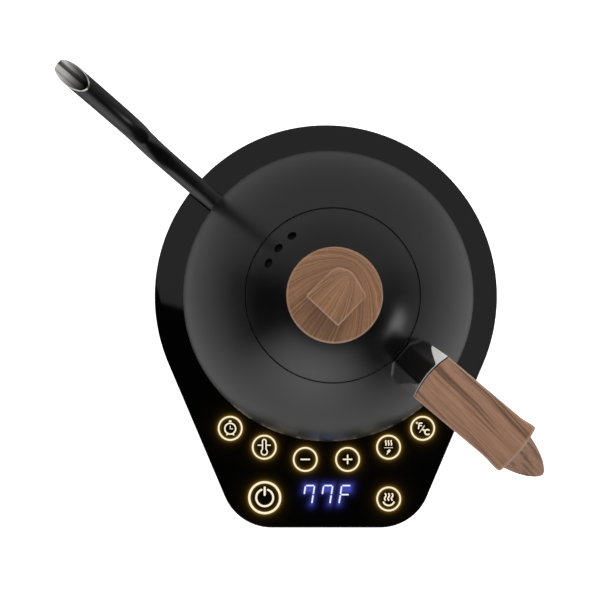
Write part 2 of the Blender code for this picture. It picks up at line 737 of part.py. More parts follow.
def make_lid():
    top = lid_profile()
    under = [point for point in offset_inward(top, BODY_WALL) if point[0] < 0.0355]
    edge_inside = LID_RADIUS - 0.0010
    profile = [(0.0029, LID_CROWN)] + top
    profile += [(LID_RADIUS, 0.1356), (LID_RADIUS - 0.0003, 0.1353), (edge_inside, 0.1353)]
    profile.append((edge_inside, 0.1368))
    profile += under[::-1] + [(0.0029, LID_CROWN - BODY_WALL)]
    shell = revolve("lid_shell", profile, 36, "satin_black")
    for index in (-1, 0, 1):
        azimuth = SPOUT_AZIMUTH + index * VENT_SPREAD
        outward = at_azimuth(azimuth, math.sin(VENT_TILT), math.cos(VENT_TILT)) * 0.006
        centre = at_azimuth(azimuth, VENT_PLACE, VENT_HEIGHT)
        hole = rod(f"vent_{index + 1}", VENT_RADIUS, centre - outward, centre + outward, 20, None)
        boolean(shell, hole)

    dish = [
        (edge_inside - GAP, 0.1364), (edge_inside - GAP, 0.1354), (0.0337, 0.1354), (0.0337, 0.1325),
        (0.0028, 0.1325), (0.0028, 0.1335), (0.0327, 0.1335), (0.0327, 0.1364),
    ]
    plate_part = revolve("lid_inner_plate", dish, 24, "steel")
    for index in (-1, 0, 1):
        place = at_azimuth(SPOUT_AZIMUTH + index * VENT_SPREAD, 0.0270)
        boolean(plate_part, cylinder(f"plate_vent_{index + 1}", 0.0020, 0.130, 0.136, place, 12, None))
    seal = [
        (0.0345, 0.1351), (0.0347, 0.1345), (0.0347, 0.1335), (0.0343, 0.1328), (0.0340, 0.1328),
        (0.0340, 0.1351),
    ]
    revolve("lid_seal", seal, 24, "silicone")


def superellipse(half_long, half_wide, power, count):
    """A closed ring of points between an ellipse (power 2) and a rounded rectangle."""
    ring = []
    for index in range(count):
        angle = 2.0 * math.pi * index / count
        cosine = math.cos(angle)
        sine = math.sin(angle)
        ring.append((
            half_long * math.copysign(abs(cosine) ** (2.0 / power), cosine),
            half_wide * math.copysign(abs(sine) ** (2.0 / power), sine),
        ))
    return ring


def make_knob():
    """A round disc that changes into a waisted square finger piece."""
    # height, half length, half width, power of the section
    sections = (
        (0.1548, 0.0170, 0.0170, 2.0), (0.1558, 0.0188, 0.0188, 2.0), (0.1580, KNOB_RADIUS, KNOB_RADIUS, 2.0),
        (0.1602, KNOB_RADIUS, KNOB_RADIUS, 2.0), (0.1614, 0.0193, 0.0193, 2.0), (0.1622, 0.0165, 0.0163, 2.0),
        (0.1630, 0.0114, 0.0109, 2.2), (0.1645, 0.0086, 0.0080, 2.8), (0.1670, 0.0077, 0.0071, 3.6),
        (0.1705, 0.0078, 0.0072, 4.4), (0.1745, 0.0086, 0.0080, 5.0), (0.1778, 0.0093, 0.0087, 6.0),
        (0.1785, 0.0091, 0.0085, 6.0), (0.1790, 0.0087, 0.0081, 6.0),
    )
    count = 28
    body = bmesh.new()
    rings = []
    for height, half_long, half_wide, power in sections:
        ring = superellipse(half_long, half_wide, power, count)
        rings.append([body.verts.new((x, y, height)) for x, y in ring])
    for lower, upper in zip(rings, rings[1:]):
        for index in range(count):
            after = (index + 1) % count
            body.faces.new((lower[index], lower[after], upper[after], upper[index]))
    body.faces.new(rings[0][::-1])
    body.faces.new(rings[-1])
    mesh = bpy.data.meshes.new("lid_knob")
    body.to_mesh(mesh)
    body.free()
    mesh.transform(Matrix.Rotation(HANDLE_AZIMUTH, 4, 'Z'))
    knob = add_part("lid_knob", mesh, "walnut")
    boolean(knob, cylinder("knob_bore", 0.0026, 0.150, 0.1672, (0, 0), 12, None))
    washer = [(0.0150, 0.1545), (0.0150, 0.1536), (0.0029, 0.1536), (0.0029, 0.1545)]
    revolve("knob_washer", washer, 24, "rubber")
    screw = [
        (0.0, 0.1660), (0.0018, 0.1658), (0.0022, 0.1652), (0.0022, 0.1322), (0.0045, 0.1322),
        (0.0045, 0.1312), (0.0036, 0.1305), (0.0, 0.1305),
    ]
    revolve("knob_screw", screw, 12, "steel", closed=False)


def shade_parts():
    for part in PARTS.objects:
        smooth(part.data)


def main():
    make_base_housing()
    make_touch_panel()
    make_bottom_cover()
    make_feet()
    make_base_screws()
    make_dock()
    make_cord_inlet()
    make_key_lights()
    make_control_electronics()
    make_power_electronics()
    make_connector()
    envelope = make_envelope()
    make_kettle_body()
    make_mouth_ring()
    make_heater()
    make_kettle_bottom_cover()
    make_spout(envelope)
    make_handle(envelope)
    make_lid()
    make_knob()
    shade_parts()


main()
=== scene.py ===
"""Gooseneck electric kettle: fine meshes, materials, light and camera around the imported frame.

Metres, +Z up. The origin is on the dock's axis at table level, and the touch keys are toward -Y.
"""

import math

import bmesh
import bpy
from mathutils import Matrix, Vector


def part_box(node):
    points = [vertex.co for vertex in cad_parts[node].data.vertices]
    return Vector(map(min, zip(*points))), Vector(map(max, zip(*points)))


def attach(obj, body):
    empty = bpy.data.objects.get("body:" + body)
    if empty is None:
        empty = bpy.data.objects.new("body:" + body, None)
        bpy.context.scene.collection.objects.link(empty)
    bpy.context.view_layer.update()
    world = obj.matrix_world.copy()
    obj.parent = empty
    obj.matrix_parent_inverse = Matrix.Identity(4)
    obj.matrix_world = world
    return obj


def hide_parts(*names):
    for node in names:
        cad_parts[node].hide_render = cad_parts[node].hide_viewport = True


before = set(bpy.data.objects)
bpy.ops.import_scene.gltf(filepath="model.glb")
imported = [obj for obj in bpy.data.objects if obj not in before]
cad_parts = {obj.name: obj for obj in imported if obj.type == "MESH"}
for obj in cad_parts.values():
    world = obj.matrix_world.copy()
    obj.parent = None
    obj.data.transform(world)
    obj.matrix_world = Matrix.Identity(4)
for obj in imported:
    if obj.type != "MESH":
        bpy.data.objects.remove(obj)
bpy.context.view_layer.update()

STEPS = 160
SMOOTH_ANGLE = math.radians(32.0)

# Base outline: a circle that narrows along two tangent sides to a rounded front.
BASE_RADIUS = 0.0950
BASE_FRONT = -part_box("base_housing")[0].y
BASE_SIDE_ANGLE = math.radians(23.0)
BASE_CORNER_RADIUS = 0.0285
BASE_WALL = 0.0022
PANEL_INSET = 0.0003
PANEL_EDGE = 0.0008
DECK_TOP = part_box("base_housing")[1].z
PANEL_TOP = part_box("touch_panel")[1].z
DOCK_HOLE = 0.0312

# Key marks.
MARK_LIFT = 0.00003
MARK_THICKNESS = 0.00006
GUIDE_MARGIN = 0.00055
RING_STROKE = 0.00092
ICON_STROKE = 0.0008
SEGMENT_STROKE = 0.0008
SEGMENT_GAP = 0.0007
HALO_NEAR = 0.00045
HALO_NEAR_LEVEL = 0.34
HALO_WIDE = 0.0024
HALO_WIDE_LEVEL = 0.012
DIGIT_HALO = 0.0008
DIGIT_HALO_LEVEL = 0.44

# Kettle shell.
BELLY_RADIUS = 0.0745
BELLY_HEIGHT = 0.0550
WALL_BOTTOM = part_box("kettle_body")[0].z
JOINT_RADIUS = 0.0384
JOINT_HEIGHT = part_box("kettle_body")[1].z
JOINT_SLOPE = math.radians(50.0)
BODY_WALL = 0.0010
SEAT_RADIUS = 0.0381

# Lid.
LID_RADIUS = 0.0378
LID_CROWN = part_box("lid_shell")[1].z
LID_FLAT_RADIUS = 0.0090
VENT_RADIUS = 0.0021
VENT_PLACE = 0.0309
VENT_AZIMUTH = math.radians(139.3)
VENT_HEIGHT = 0.1452
VENT_TILT = math.radians(42.0)
VENT_SPREAD = math.radians(14.4)
SCREW_HOLE = 0.0029

# Spout and handle lie in one vertical plane through the axis.
SPOUT_AZIMUTH = math.radians(140.0)
HANDLE_AZIMUTH = SPOUT_AZIMUTH - math.pi
SPOUT_PATH = (
    (0.0640, 0.0495), (0.0780, 0.0515), (0.0920, 0.0565), (0.1052, 0.0660), (0.1125, 0.0790), (0.1148, 0.0930),
    (0.1154, 0.1060), (0.1152, 0.1180), (0.1182, 0.1290), (0.1270, 0.1382), (0.1425, 0.1486), (0.1600, 0.1597),
)
SPOUT_ROOT_RADIUS = 0.0050
SPOUT_TIP_RADIUS = 0.0048
SPOUT_WALL = 0.00042
SPOUT_WELD = 0.0012
MOUTH_END = 0.1529
MOUTH_END_BOW = 0.0012
SPOUT_MOUTH_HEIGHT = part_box("spout")[1].z
SPOUT_STEPS = 64
SPOUT_BEND_END = 0.80
SPOUT_TUBE_ROWS = 80
SPOUT_MOUTH_ROWS = 20
SPOUT_WELD_ROWS = 6
GRIP_HALF_WIDTH = 0.0113
GRIP_ARM_HALF_WIDTH = 0.0114
GRIP_ARM_LEAN = 0.0010
GRIP_LIP_FLARE = 0.0008
GRIP_TAPER = 0.1120
GRIP_TIP = 0.1455
GRIP_ROWS = 170
FRONT_BOW = 0.0017
LIP_BOW = 0.0014

# The handle's neck, and the wedge-shaped ferrule as (distance, height) corners.
NECK_INNER = 0.0390
NECK_HALF_SPAN = 0.0150
NECK_TOP = (0.0515, 0.1500)
NECK_RISE = 0.95
NECK_HEIGHT = 0.0140
NECK_HALF_WIDTH = 0.0112
NECK_WIDENING = 0.12
NECK_SHOULDER = 0.48
NECK_ROUND = 0.06
NECK_CROWN = 0.02
NECK_FLANK = 1.5
NECK_SKIRT_START = 1.01
NECK_SKIRT = 6.0
NECK_BLEND = 0.0030
NECK_SINK = 0.000012
NECK_FLOOR = 0.0007
FERRULE_GAP = 0.0003
FERRULE_CROWN = 1.2
FERRULE_REAR = 0.0530
WEDGE = ((0.0535, 0.1497), (0.0479, 0.1340), (0.0496, 0.1280), (0.0580, 0.1280), (0.0539, 0.1497))


def box_centre(node):
    low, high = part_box(node)
    return (low + high) / 2.0


# ---------------------------------------------------------------- curves

def at_azimuth(azimuth, distance, height=0.0):
    return Vector((distance * math.cos(azimuth), distance * math.sin(azimuth), height))


def bezier(start, pull_start, pull_end, end, count):
    """Points along a cubic curve, both ends included."""
    corners = [Vector(corner) for corner in (start, pull_start, pull_end, end)]
    points = []
    for step in range(count + 1):
        t = step / count
        s = 1.0 - t
        weights = (s ** 3, 3.0 * s * s * t, 3.0 * s * t * t, t ** 3)
        points.append(sum((corner * weight for corner, weight in zip(corners, weights)), corners[0] * 0.0))
    return points


def smooth_path(points, steps):
    """Catmull-Rom points through a list of points."""
    ends = [points[0]] + list(points) + [points[-1]]
    path = []
    for index in range(1, len(ends) - 2):
        before, start, end, after = (Vector(ends[index + k]) for k in (-1, 0, 1, 2))
        for step in range(steps):
            t = step / steps
            path.append(
                0.5 * (
                    2.0 * start + (end - before) * t
                    + (2.0 * before - 5.0 * start + 4.0 * end - after) * t ** 2
                    + (3.0 * start - before - 3.0 * end + after) * t ** 3
                )
            )
    path.append(Vector(points[-1]))
    return path


def arc(centre, radius, start, end, count):
    return [
        Vector((
            centre[0] + radius * math.cos(start + (end - start) * i / count),
            centre[1] + radius * math.sin(start + (end - start) * i / count),
        ))
        for i in range(count + 1)
    ]


def rounded(corners, steps=5, closed=True):
    """(a, b, radius) corners as points, with an arc at each corner that has a radius."""
    points = []
    for index, (a, b, radius) in enumerate(corners):
        corner = Vector((a, b))
        at_end = not closed and index in (0, len(corners) - 1)
        if radius == 0.0 or at_end:
            points.append(corner)
            continue
        before = Vector(corners[index - 1][:2]) - corner
        after = Vector(corners[(index + 1) % len(corners)][:2]) - corner
        reach = radius / math.tan(before.angle(after) / 2.0)
        reach = min(reach, 0.49 * before.length, 0.49 * after.length)
        start = corner + before.normalized() * reach
        end = corner + after.normalized() * reach
        for step in range(steps + 1):
            t = step / steps
            points.append(start * (1.0 - t) ** 2 + corner * 2.0 * t * (1.0 - t) + end * t ** 2)
    return points


def offset_inward(profile, distance):
    """A profile moved by distance toward the inside."""
    moved = []
    for index, point in enumerate(profile):
        along = Vector(profile[min(len(profile) - 1, index + 1)]) - Vector(profile[max(0, index - 1)])
        along.normalize()
        moved.append(Vector(point) + Vector((along.y, -along.x)) * distance)
    return moved


def crossing(low, high, reached):
    """The value between low and high where reached(value) turns true."""
    for _ in range(30):
        middle = (low + high) / 2.0
        if reached(middle):
            high = middle
        else:
            low = middle
    return high


def bend(start, corner, end, share):
    """A point on a quadratic curve."""
    return start * (1.0 - share) ** 2 + corner * 2.0 * share * (1.0 - share) + end * share ** 2


def ease(value, low, high):
    """A smooth 0 to 1 step between low and high."""
    t = min(1.0, max(0.0, (value - low) / (high - low)))
    return t * t * (3.0 - 2.0 * t)


# ---------------------------------------------------------------- meshes

def add_skin(body, rings, wrap=False, caps=False, slot_index=0):
    """Faces between rings of points with equal counts. wrap joins the last ring to the first one."""
    grid = [[body.verts.new(point) for point in ring] for ring in rings]
    pairs = list(zip(grid, grid[1:]))
    if wrap:
        pairs.append((grid[-1], grid[0]))
    faces = []
    for first, second in pairs:
        for index in range(len(first)):
            after = (index + 1) % len(first)
            faces.append(body.faces.new((first[index], second[index], second[after], first[after])))
    if caps:
        faces.append(body.faces.new(grid[0]))
        faces.append(body.faces.new(grid[-1][::-1]))
    for face in faces:
        face.material_index = slot_index
    return grid


def to_piece(name, body):
    """Welds a bmesh, turns its faces outward and links it as an object."""
    bmesh.ops.remove_doubles(body, verts=body.verts, dist=1e-7)
    bmesh.ops.dissolve_degenerate(body, edges=body.edges, dist=1e-8)
    bmesh.ops.recalc_face_normals(body, faces=body.faces)
    mesh = bpy.data.meshes.new(name)
    body.to_mesh(mesh)
    body.free()
    mesh.shade_smooth()
    mesh.set_sharp_from_angle(angle=SMOOTH_ANGLE)
    piece = bpy.data.objects.new(name, mesh)
    bpy.context.scene.collection.objects.link(piece)
    return piece


def skin(name, rings, wrap=False, caps=False):
    body = bmesh.new()
    add_skin(body, rings, wrap, caps)
    return to_piece(name, body)


def circle(radius, height, steps=STEPS, centre=(0.0, 0.0)):
    return [
        Vector((
            centre[0] + radius * math.cos(2.0 * math.pi * i / steps),
            centre[1] + radius * math.sin(2.0 * math.pi * i / steps),
            height,
        ))
        for i in range(steps)
    ]


def revolve(name, profile, steps=STEPS, closed=True, centre=(0.0, 0.0)):
    """Turns (radius, height) points about an upright axis."""
    rings = [circle(radius, height, steps, centre) for radius, height in profile]
    return skin(name, rings, wrap=closed)


def boolean(piece, cutter):
    """Cuts the cutter out of the piece and removes the cutter."""
    modifier = piece.modifiers.new("cut", 'BOOLEAN')
    modifier.operation = 'DIFFERENCE'
    modifier.object = cutter
    modifier.solver = 'EXACT'
    bpy.context.view_layer.update()
    evaluated = piece.evaluated_get(bpy.context.evaluated_depsgraph_get())
    mesh = bpy.data.meshes.new_from_object(evaluated)
    piece.modifiers.remove(modifier)
    piece.data = mesh
    bpy.data.objects.remove(cutter, do_unlink=True)
    mesh.shade_smooth()
    mesh.set_sharp_from_angle(angle=SMOOTH_ANGLE)


def rod(name, radius, start, end, steps=48):
    """A round bar between two points."""
    axis = (Vector(end) - Vector(start)).normalized()
    turn = axis.to_track_quat('Z', 'Y').to_matrix()
    rings = []
    for place in (start, end):
        rings.append([Vector(place) + turn @ point for point in circle(radius, 0.0, steps)])
    return skin(name, rings, caps=True)


def finish_piece(piece, body, materials, slot, *nodes):
    """Gives a piece its materials and its body, and hides the nodes that it stands for. slot is not used."""
    for material in materials:
        piece.data.materials.append(material)
    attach(piece, body)
    if nodes:
        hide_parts(*nodes)
    return piece


# ---------------------------------------------------------------- material graphs

class Graph:
    """A node tree, with one short call for each kind of node used here."""

    def __init__(self, tree):
        self.tree = tree
        self.place = self.add("ShaderNodeTexCoord").outputs["Object"]

    def add(self, kind, **settings):
        node = self.tree.nodes.new(kind)
        for name, value in settings.items():
            setattr(node, name, value)
        return node

    def feed(self, socket, value):
        """Links a socket to a value that is a socket, or else sets it."""
        if isinstance(value, bpy.types.NodeSocket):
            self.tree.links.new(value, socket)
        else:
            socket.default_value = value

    def math(self, operation, *values, clamp=False):
        node = self.add("ShaderNodeMath", operation=operation, use_clamp=clamp)
        for socket, value in zip(node.inputs, values):
            self.feed(socket, value)
        return node.outputs[0]

    def vector(self, operation, *values):
        node = self.add("ShaderNodeVectorMath", operation=operation)
        for socket, value in zip(node.inputs, values):
            self.feed(socket, value)
        return node.outputs["Value"] if operation in ('LENGTH', 'DISTANCE', 'DOT_PRODUCT') else node.outputs[0]

    def join(self, x, y, z=0.0):
        node = self.add("ShaderNodeCombineXYZ")
        for socket, value in zip(node.inputs, (x, y, z)):
            self.feed(socket, value)
        return node.outputs[0]

    def split(self, vector):
        node = self.add("ShaderNodeSeparateXYZ")
        self.feed(node.inputs[0], vector)
        return node.outputs

    def mapped(self, scale=(1.0, 1.0, 1.0), turn=(0.0, 0.0, 0.0), shift=(0.0, 0.0, 0.0)):
        """Object coordinates turned, then scaled."""
        node = self.add("ShaderNodeMapping", vector_type='TEXTURE')
        self.feed(node.inputs["Vector"], self.place)
        node.inputs["Location"].default_value = shift
        node.inputs["Rotation"].default_value = turn
        return self.vector('MULTIPLY', node.outputs[0], scale)

    def noise(self, scale, detail=3.0, roughness=0.5, vector=None):
        node = self.add("ShaderNodeTexNoise")
        self.feed(node.inputs["Vector"], vector or self.place)
        node.inputs["Scale"].default_value = scale
        node.inputs["Detail"].default_value = detail
        node.inputs["Roughness"].default_value = roughness
        return node.outputs["Fac"]

    def noise_line(self, value, scale, detail):
        """Noise that changes along one value only."""
        node = self.add("ShaderNodeTexNoise", noise_dimensions='1D')
        self.feed(node.inputs["W"], value)
        node.inputs["Scale"].default_value = scale
        node.inputs["Detail"].default_value = detail
        return node.outputs["Fac"]

    def ramp(self, value, *stops):
        """A colour ramp through (position, (red, green, blue)) stops."""
        node = self.add("ShaderNodeValToRGB")
        self.feed(node.inputs[0], value)
        elements = node.color_ramp.elements
        while len(elements) < len(stops):
            elements.new(0.5)
        for element, (position, colour) in zip(elements, stops):
            element.position = position
            element.color = (*colour, 1.0)
        return node.outputs[0]

    def span(self, value, low, high, to_low, to_high):
        """Maps a value from low..high to to_low..to_high, clamped."""
        node = self.add("ShaderNodeMapRange")
        for socket, number in zip(node.inputs, (value, low, high, to_low, to_high)):
            self.feed(socket, number)
        return node.outputs[0]

    def mix(self, share, first, second, blend='MIX'):
        node = self.add("ShaderNodeMix", data_type='RGBA', blend_type=blend)
        self.feed(node.inputs["Factor"], share)
        self.feed(node.inputs[6], first)
        self.feed(node.inputs[7], second)
        return node.outputs[2]

    def edge_highlight_mask(self, level_start, level_end):
        """Mask for a painted edge highlight: 1 on faces that lean, and 0 on steep faces and nearly level ones.
        """
        slope = self.split(self.add("ShaderNodeNewGeometry").outputs["Normal"])[2]
        off_steep = self.span(slope, 0.15, 0.35, 0.0, 1.0)
        return self.math('MULTIPLY', off_steep, self.span(slope, level_start, level_end, 1.0, 0.0))

    def fade(self, distance, half, strength):
        """A glow that halves with every further step of this length."""
        share = self.math('POWER', 0.5, self.math('DIVIDE', distance, half))
        return self.math('MULTIPLY', share, strength)


class Finish(Graph):
    """A material with one shader."""

    def __init__(self, name, colour, roughness, metallic=0.0):
        self.material = bpy.data.materials.new(name)
        self.material.use_nodes = True
        super().__init__(self.material.node_tree)
        self.shader = self.tree.nodes["Principled BSDF"]
        self.set("Base Color", (*colour, 1.0))
        self.set("Roughness", roughness)
        self.set("Metallic", metallic)

    def set(self, name, value):
        self.feed(self.shader.inputs[name], value)

    def mottle(self, value, dark, light):
        """Base colour from dark to light over the middle of a noise value."""
        self.set("Base Color", self.ramp(value, (0.3, dark), (0.7, light)))

    def bump(self, height, distance, strength=1.0):
        node = self.add("ShaderNodeBump")
        self.feed(node.inputs["Height"], height)
        node.inputs["Distance"].default_value = distance
        node.inputs["Strength"].default_value = strength
        self.set("Normal", node.outputs[0])


STEEL_SHADE = 0.62
STEEL_ROUGHNESS = 0.26


def key_marks():
    """Centre and outer radius of each key's lit ring, from its light guide in the frame."""
    marks = []
    for index in range(1, 9):
        low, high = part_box(f"key_light_guide_{index}")
        centre = (low + high) / 2.0
        marks.append((centre.x, centre.y, (high.x - low.x) / 2.0 - GUIDE_MARGIN))
    return marks


def satin_black():
    """Powder coat: even black with a very fine orange peel."""
    graph = Finish("satin_black", (0.0032, 0.0032, 0.0034), 0.30)
    patches = graph.noise(60.0, 4.0)
    graph.mottle(patches, (0.0026, 0.0026, 0.0028), (0.0038, 0.0038, 0.0040))
    graph.set("Roughness", graph.span(patches, 0.3, 0.7, 0.28, 0.32))
    graph.bump(graph.noise(1600.0, 2.0), 0.00002, 0.30)
    return graph.material


def gloss_black(marks, display):
    """Polished black sheet, lit from below round the keys and the readout."""
    graph = Finish("gloss_black", (0.0010, 0.0010, 0.0010), 0.03)
    graph.set("Roughness", graph.span(graph.noise(45.0, 5.0), 0.3, 0.8, 0.02, 0.06))
    x, y, _ = graph.split(graph.place)
    flat = graph.join(x, y)
    from_ring = 1.0
    for centre_x, centre_y, radius in marks:
        distance = graph.vector('DISTANCE', flat, (centre_x, centre_y, 0.0))
        gap = graph.math('ABSOLUTE', graph.math('SUBTRACT', distance, radius - RING_STROKE / 2.0))
        from_ring = graph.math('MINIMUM', from_ring, gap)
    warm_near = graph.fade(from_ring, HALO_NEAR, HALO_NEAR_LEVEL)
    warm = graph.math('ADD', warm_near, graph.fade(from_ring, HALO_WIDE, HALO_WIDE_LEVEL))
    slant = graph.math('MULTIPLY', graph.math('SUBTRACT', y, display.y), DIGIT_SLANT)
    upright = graph.join(graph.math('SUBTRACT', x, slant), y)
    from_digit = 1.0
    for centre_x, centre_y, half_x, half_y in readout_glow(display):
        offset = graph.vector('ABSOLUTE', graph.vector('SUBTRACT', upright, (centre_x, centre_y, 0.0)))
        outside = graph.vector('SUBTRACT', offset, (half_x, half_y, 0.0))
        beyond = graph.vector('MAXIMUM', outside, (0.0, 0.0, 0.0))
        from_digit = graph.math('MINIMUM', from_digit, graph.vector('LENGTH', beyond))
    cool = graph.fade(from_digit, DIGIT_HALO, DIGIT_HALO_LEVEL)
    amber = graph.mix(1.0, (1.0, 0.58, 0.06, 1.0), warm, 'MULTIPLY')
    blue = graph.mix(1.0, (0.13, 0.15, 1.0, 1.0), cool, 'MULTIPLY')
    graph.set("Emission Color", graph.mix(1.0, amber, blue, 'ADD'))
    graph.set("Emission Strength", 1.0)
    return graph.material


def moulded_black():
    """Black plastic with a fine spark-eroded texture."""
    graph = Finish("moulded_black", (0.010, 0.010, 0.0105), 0.5)
    grain = graph.noise(2600.0, 3.0)
    graph.set("Base Color", graph.ramp(grain, (0.3, (0.008, 0.008, 0.0085)), (0.75, (0.015, 0.015, 0.016))))
    graph.set("Roughness", graph.span(graph.noise(80.0), 0.3, 0.7, 0.45, 0.58))
    graph.bump(grain, 0.00004, 0.5)
    return graph.material


def brushed_steel(name="brushed_steel", turned=False):
    """Steel brushed along Z, or round its axis when it was turned."""
    bright = (STEEL_SHADE, STEEL_SHADE * 0.985, STEEL_SHADE * 0.96)
    dark = (STEEL_SHADE * 0.80, STEEL_SHADE * 0.79, STEEL_SHADE * 0.77)
    graph = Finish(name, bright, STEEL_ROUGHNESS, 1.0)
    if turned:
        x, y, z = graph.split(graph.place)
        reach = graph.vector('LENGTH', graph.join(x, y))
        lines = graph.join(graph.math('MULTIPLY', reach, 2400.0), graph.math('MULTIPLY', z, 2400.0))
        streaks = graph.noise(1.0, 3.0, 0.6, lines)
    else:
        streaks = graph.noise(1.0, 3.0, 0.6, graph.mapped((1800.0, 1800.0, 60.0)))
    graph.mottle(streaks, dark, bright)
    graph.set("Roughness", graph.span(streaks, 0.3, 0.7, STEEL_ROUGHNESS - 0.06, STEEL_ROUGHNESS + 0.10))
    graph.bump(streaks, 0.00002, 0.3)
    return graph.material


def drawn_steel(azimuth, mouth_end):
    """The spout's bore: satin steel with draw marks along the tube, painted darker further in as shade."""
    graph = Finish("drawn_steel", (0.62, 0.60, 0.57), 0.34, 0.45)
    across = graph.vector('DOT_PRODUCT', graph.place, tuple(at_azimuth(azimuth + math.pi / 2.0, 1.0)))
    marks = graph.noise_line(across, 420.0, 2.0)
    tone = graph.ramp(marks, (0.38, (0.10, 0.097, 0.09)), (0.60, (0.74, 0.72, 0.69)))
    along = graph.vector('DOT_PRODUCT', graph.place, tuple(at_azimuth(azimuth, 1.0)))
    height = graph.split(graph.place)[2]
    # Painted shade: the bore goes near black further into the tube, while the rim's top edge stays
    # steel-coloured.
    lip = graph.span(height, SPOUT_MOUTH_HEIGHT - 0.0006, SPOUT_MOUTH_HEIGHT - 0.0001, 0.0, 1.0)
    unshaded_share = graph.span(along, mouth_end - 0.0130, mouth_end - 0.0050, 0.02, 1.0)
    tone = graph.mix(graph.math('MAXIMUM', unshaded_share, lip), (0.006, 0.006, 0.006, 1.0), tone)
    graph.set("Base Color", tone)
    graph.set("Roughness", graph.span(marks, 0.3, 0.7, 0.40, 0.28))
    return graph.material


def steel_with_painted_light(painted_light_azimuth):
    """Satin steel with a painted highlight and shade: its brushed lines are coloured lighter on the side toward
    the light and darker on the far side.
    """
    graph = Finish("steel_with_painted_light", (0.88, 0.867, 0.845), 0.40, 0.2)
    normal = graph.add("ShaderNodeNewGeometry").outputs["Normal"]
    # Painted highlight and shade: the base colour is lighter on faces turned toward the key light's azimuth and
    # darker on those turned away.
    toward = graph.vector('DOT_PRODUCT', normal, tuple(at_azimuth(painted_light_azimuth, 1.0)))
    lines = graph.noise(1.0, 3.0, 0.6, graph.mapped((1800.0, 1800.0, 60.0)))
    share = graph.math('MULTIPLY_ADD', lines, 0.3, graph.span(toward, -0.15, 0.45, -0.15, 0.85))
    graph.set("Base Color", graph.ramp(share, (0.05, (0.16, 0.158, 0.155)), (0.9, (0.90, 0.887, 0.865))))
    graph.bump(lines, 0.00002, 0.3)
    return graph.material


def turned_brass():
    graph = Finish("turned_brass", (0.70, 0.50, 0.22), 0.28, 1.0)
    tone = graph.noise(300.0, 4.0)
    graph.mottle(tone, (0.52, 0.36, 0.15), (0.74, 0.55, 0.27))
    graph.set("Roughness", graph.span(tone, 0.3, 0.7, 0.22, 0.38))
    return graph.material


def soft_rubber(name, dark, light, roughness):
    graph = Finish(name, light, roughness)
    grain = graph.noise(1500.0, 4.0)
    graph.mottle(grain, dark, light)
    graph.bump(grain, 0.00003, 0.4)
    return graph.material


def circuit_board():
    """Green solder resist with paler copper tracks under it."""
    graph = Finish("circuit_board", (0.01, 0.10, 0.04), 0.35)
    tracks = graph.add("ShaderNodeTexBrick")
    graph.feed(tracks.inputs["Vector"], graph.mapped((1.0, 1.0, 1.0), (0.0, 0.0, math.radians(45.0))))
    tracks.inputs["Scale"].default_value = 190.0
    tracks.inputs["Mortar Size"].default_value = 0.06
    tracks.inputs["Color1"].default_value = (0.008, 0.085, 0.035, 1.0)
    tracks.inputs["Color2"].default_value = (0.010, 0.100, 0.042, 1.0)
    tracks.inputs["Mortar"].default_value = (0.030, 0.180, 0.070, 1.0)
    graph.set("Base Color", tracks.outputs["Color"])
    graph.bump(tracks.outputs["Fac"], 0.00003, 0.5)
    return graph.material


def moulded(name, dark, light):
    """Plain moulded part with a slight mottle."""
    graph = Finish(name, light, 0.42)
    tone = graph.noise(400.0, 3.0)
    graph.mottle(tone, dark, light)
    graph.set("Roughness", graph.span(tone, 0.3, 0.7, 0.36, 0.50))
    return graph.material


def winding_tape():
    """Yellow tape wound in level turns."""
    graph = Finish("winding_tape", (0.62, 0.44, 0.05), 0.35)
    height = graph.split(graph.place)[2]
    turns = graph.math('PINGPONG', graph.math('MULTIPLY', height, 1200.0), 1.0)
    graph.set("Base Color", graph.ramp(turns, (0.0, (0.40, 0.26, 0.03)), (0.25, (0.66, 0.48, 0.06))))
    graph.bump(turns, 0.00005, 0.4)
    return graph.material


def lit(name, colour, strength):
    """A lit mark whose brightness varies slightly."""
    graph = Finish(name, (0.03, 0.03, 0.03), 0.6)
    flicker = graph.noise(900.0, 2.0)
    dim = tuple(channel * 0.92 for channel in colour)
    graph.set("Emission Color", graph.ramp(flicker, (0.3, dim), (0.7, colour)))
    graph.set("Emission Strength", strength)
    return graph.material


def light_guide():
    graph = Finish("light_guide", (0.86, 0.78, 0.58), 0.3)
    tone = graph.noise(500.0, 2.0)
    graph.mottle(tone, (0.80, 0.70, 0.50), (0.90, 0.84, 0.66))
    graph.set("Emission Color", (1.0, 0.78, 0.45, 1.0))
    graph.set("Emission Strength", 0.4)
    return graph.material


WOOD_DARK = (0.130, 0.066, 0.039)
WOOD_MID = (0.262, 0.139, 0.083)
WOOD_LIGHT = (0.318, 0.176, 0.109)
RING_DARK = (0.158, 0.076, 0.036)
RING_MID = (0.226, 0.112, 0.055)
RING_LIGHT = (0.280, 0.145, 0.076)
# Colour of the painted highlight on the wooden parts' rounded edges.
EDGE_HIGHLIGHT_TONE = (0.420, 0.262, 0.175)
DISC_TOP = 0.1626
WAIST_TOP = 0.1770
GRIP_EDGE_HEIGHT = 0.1460


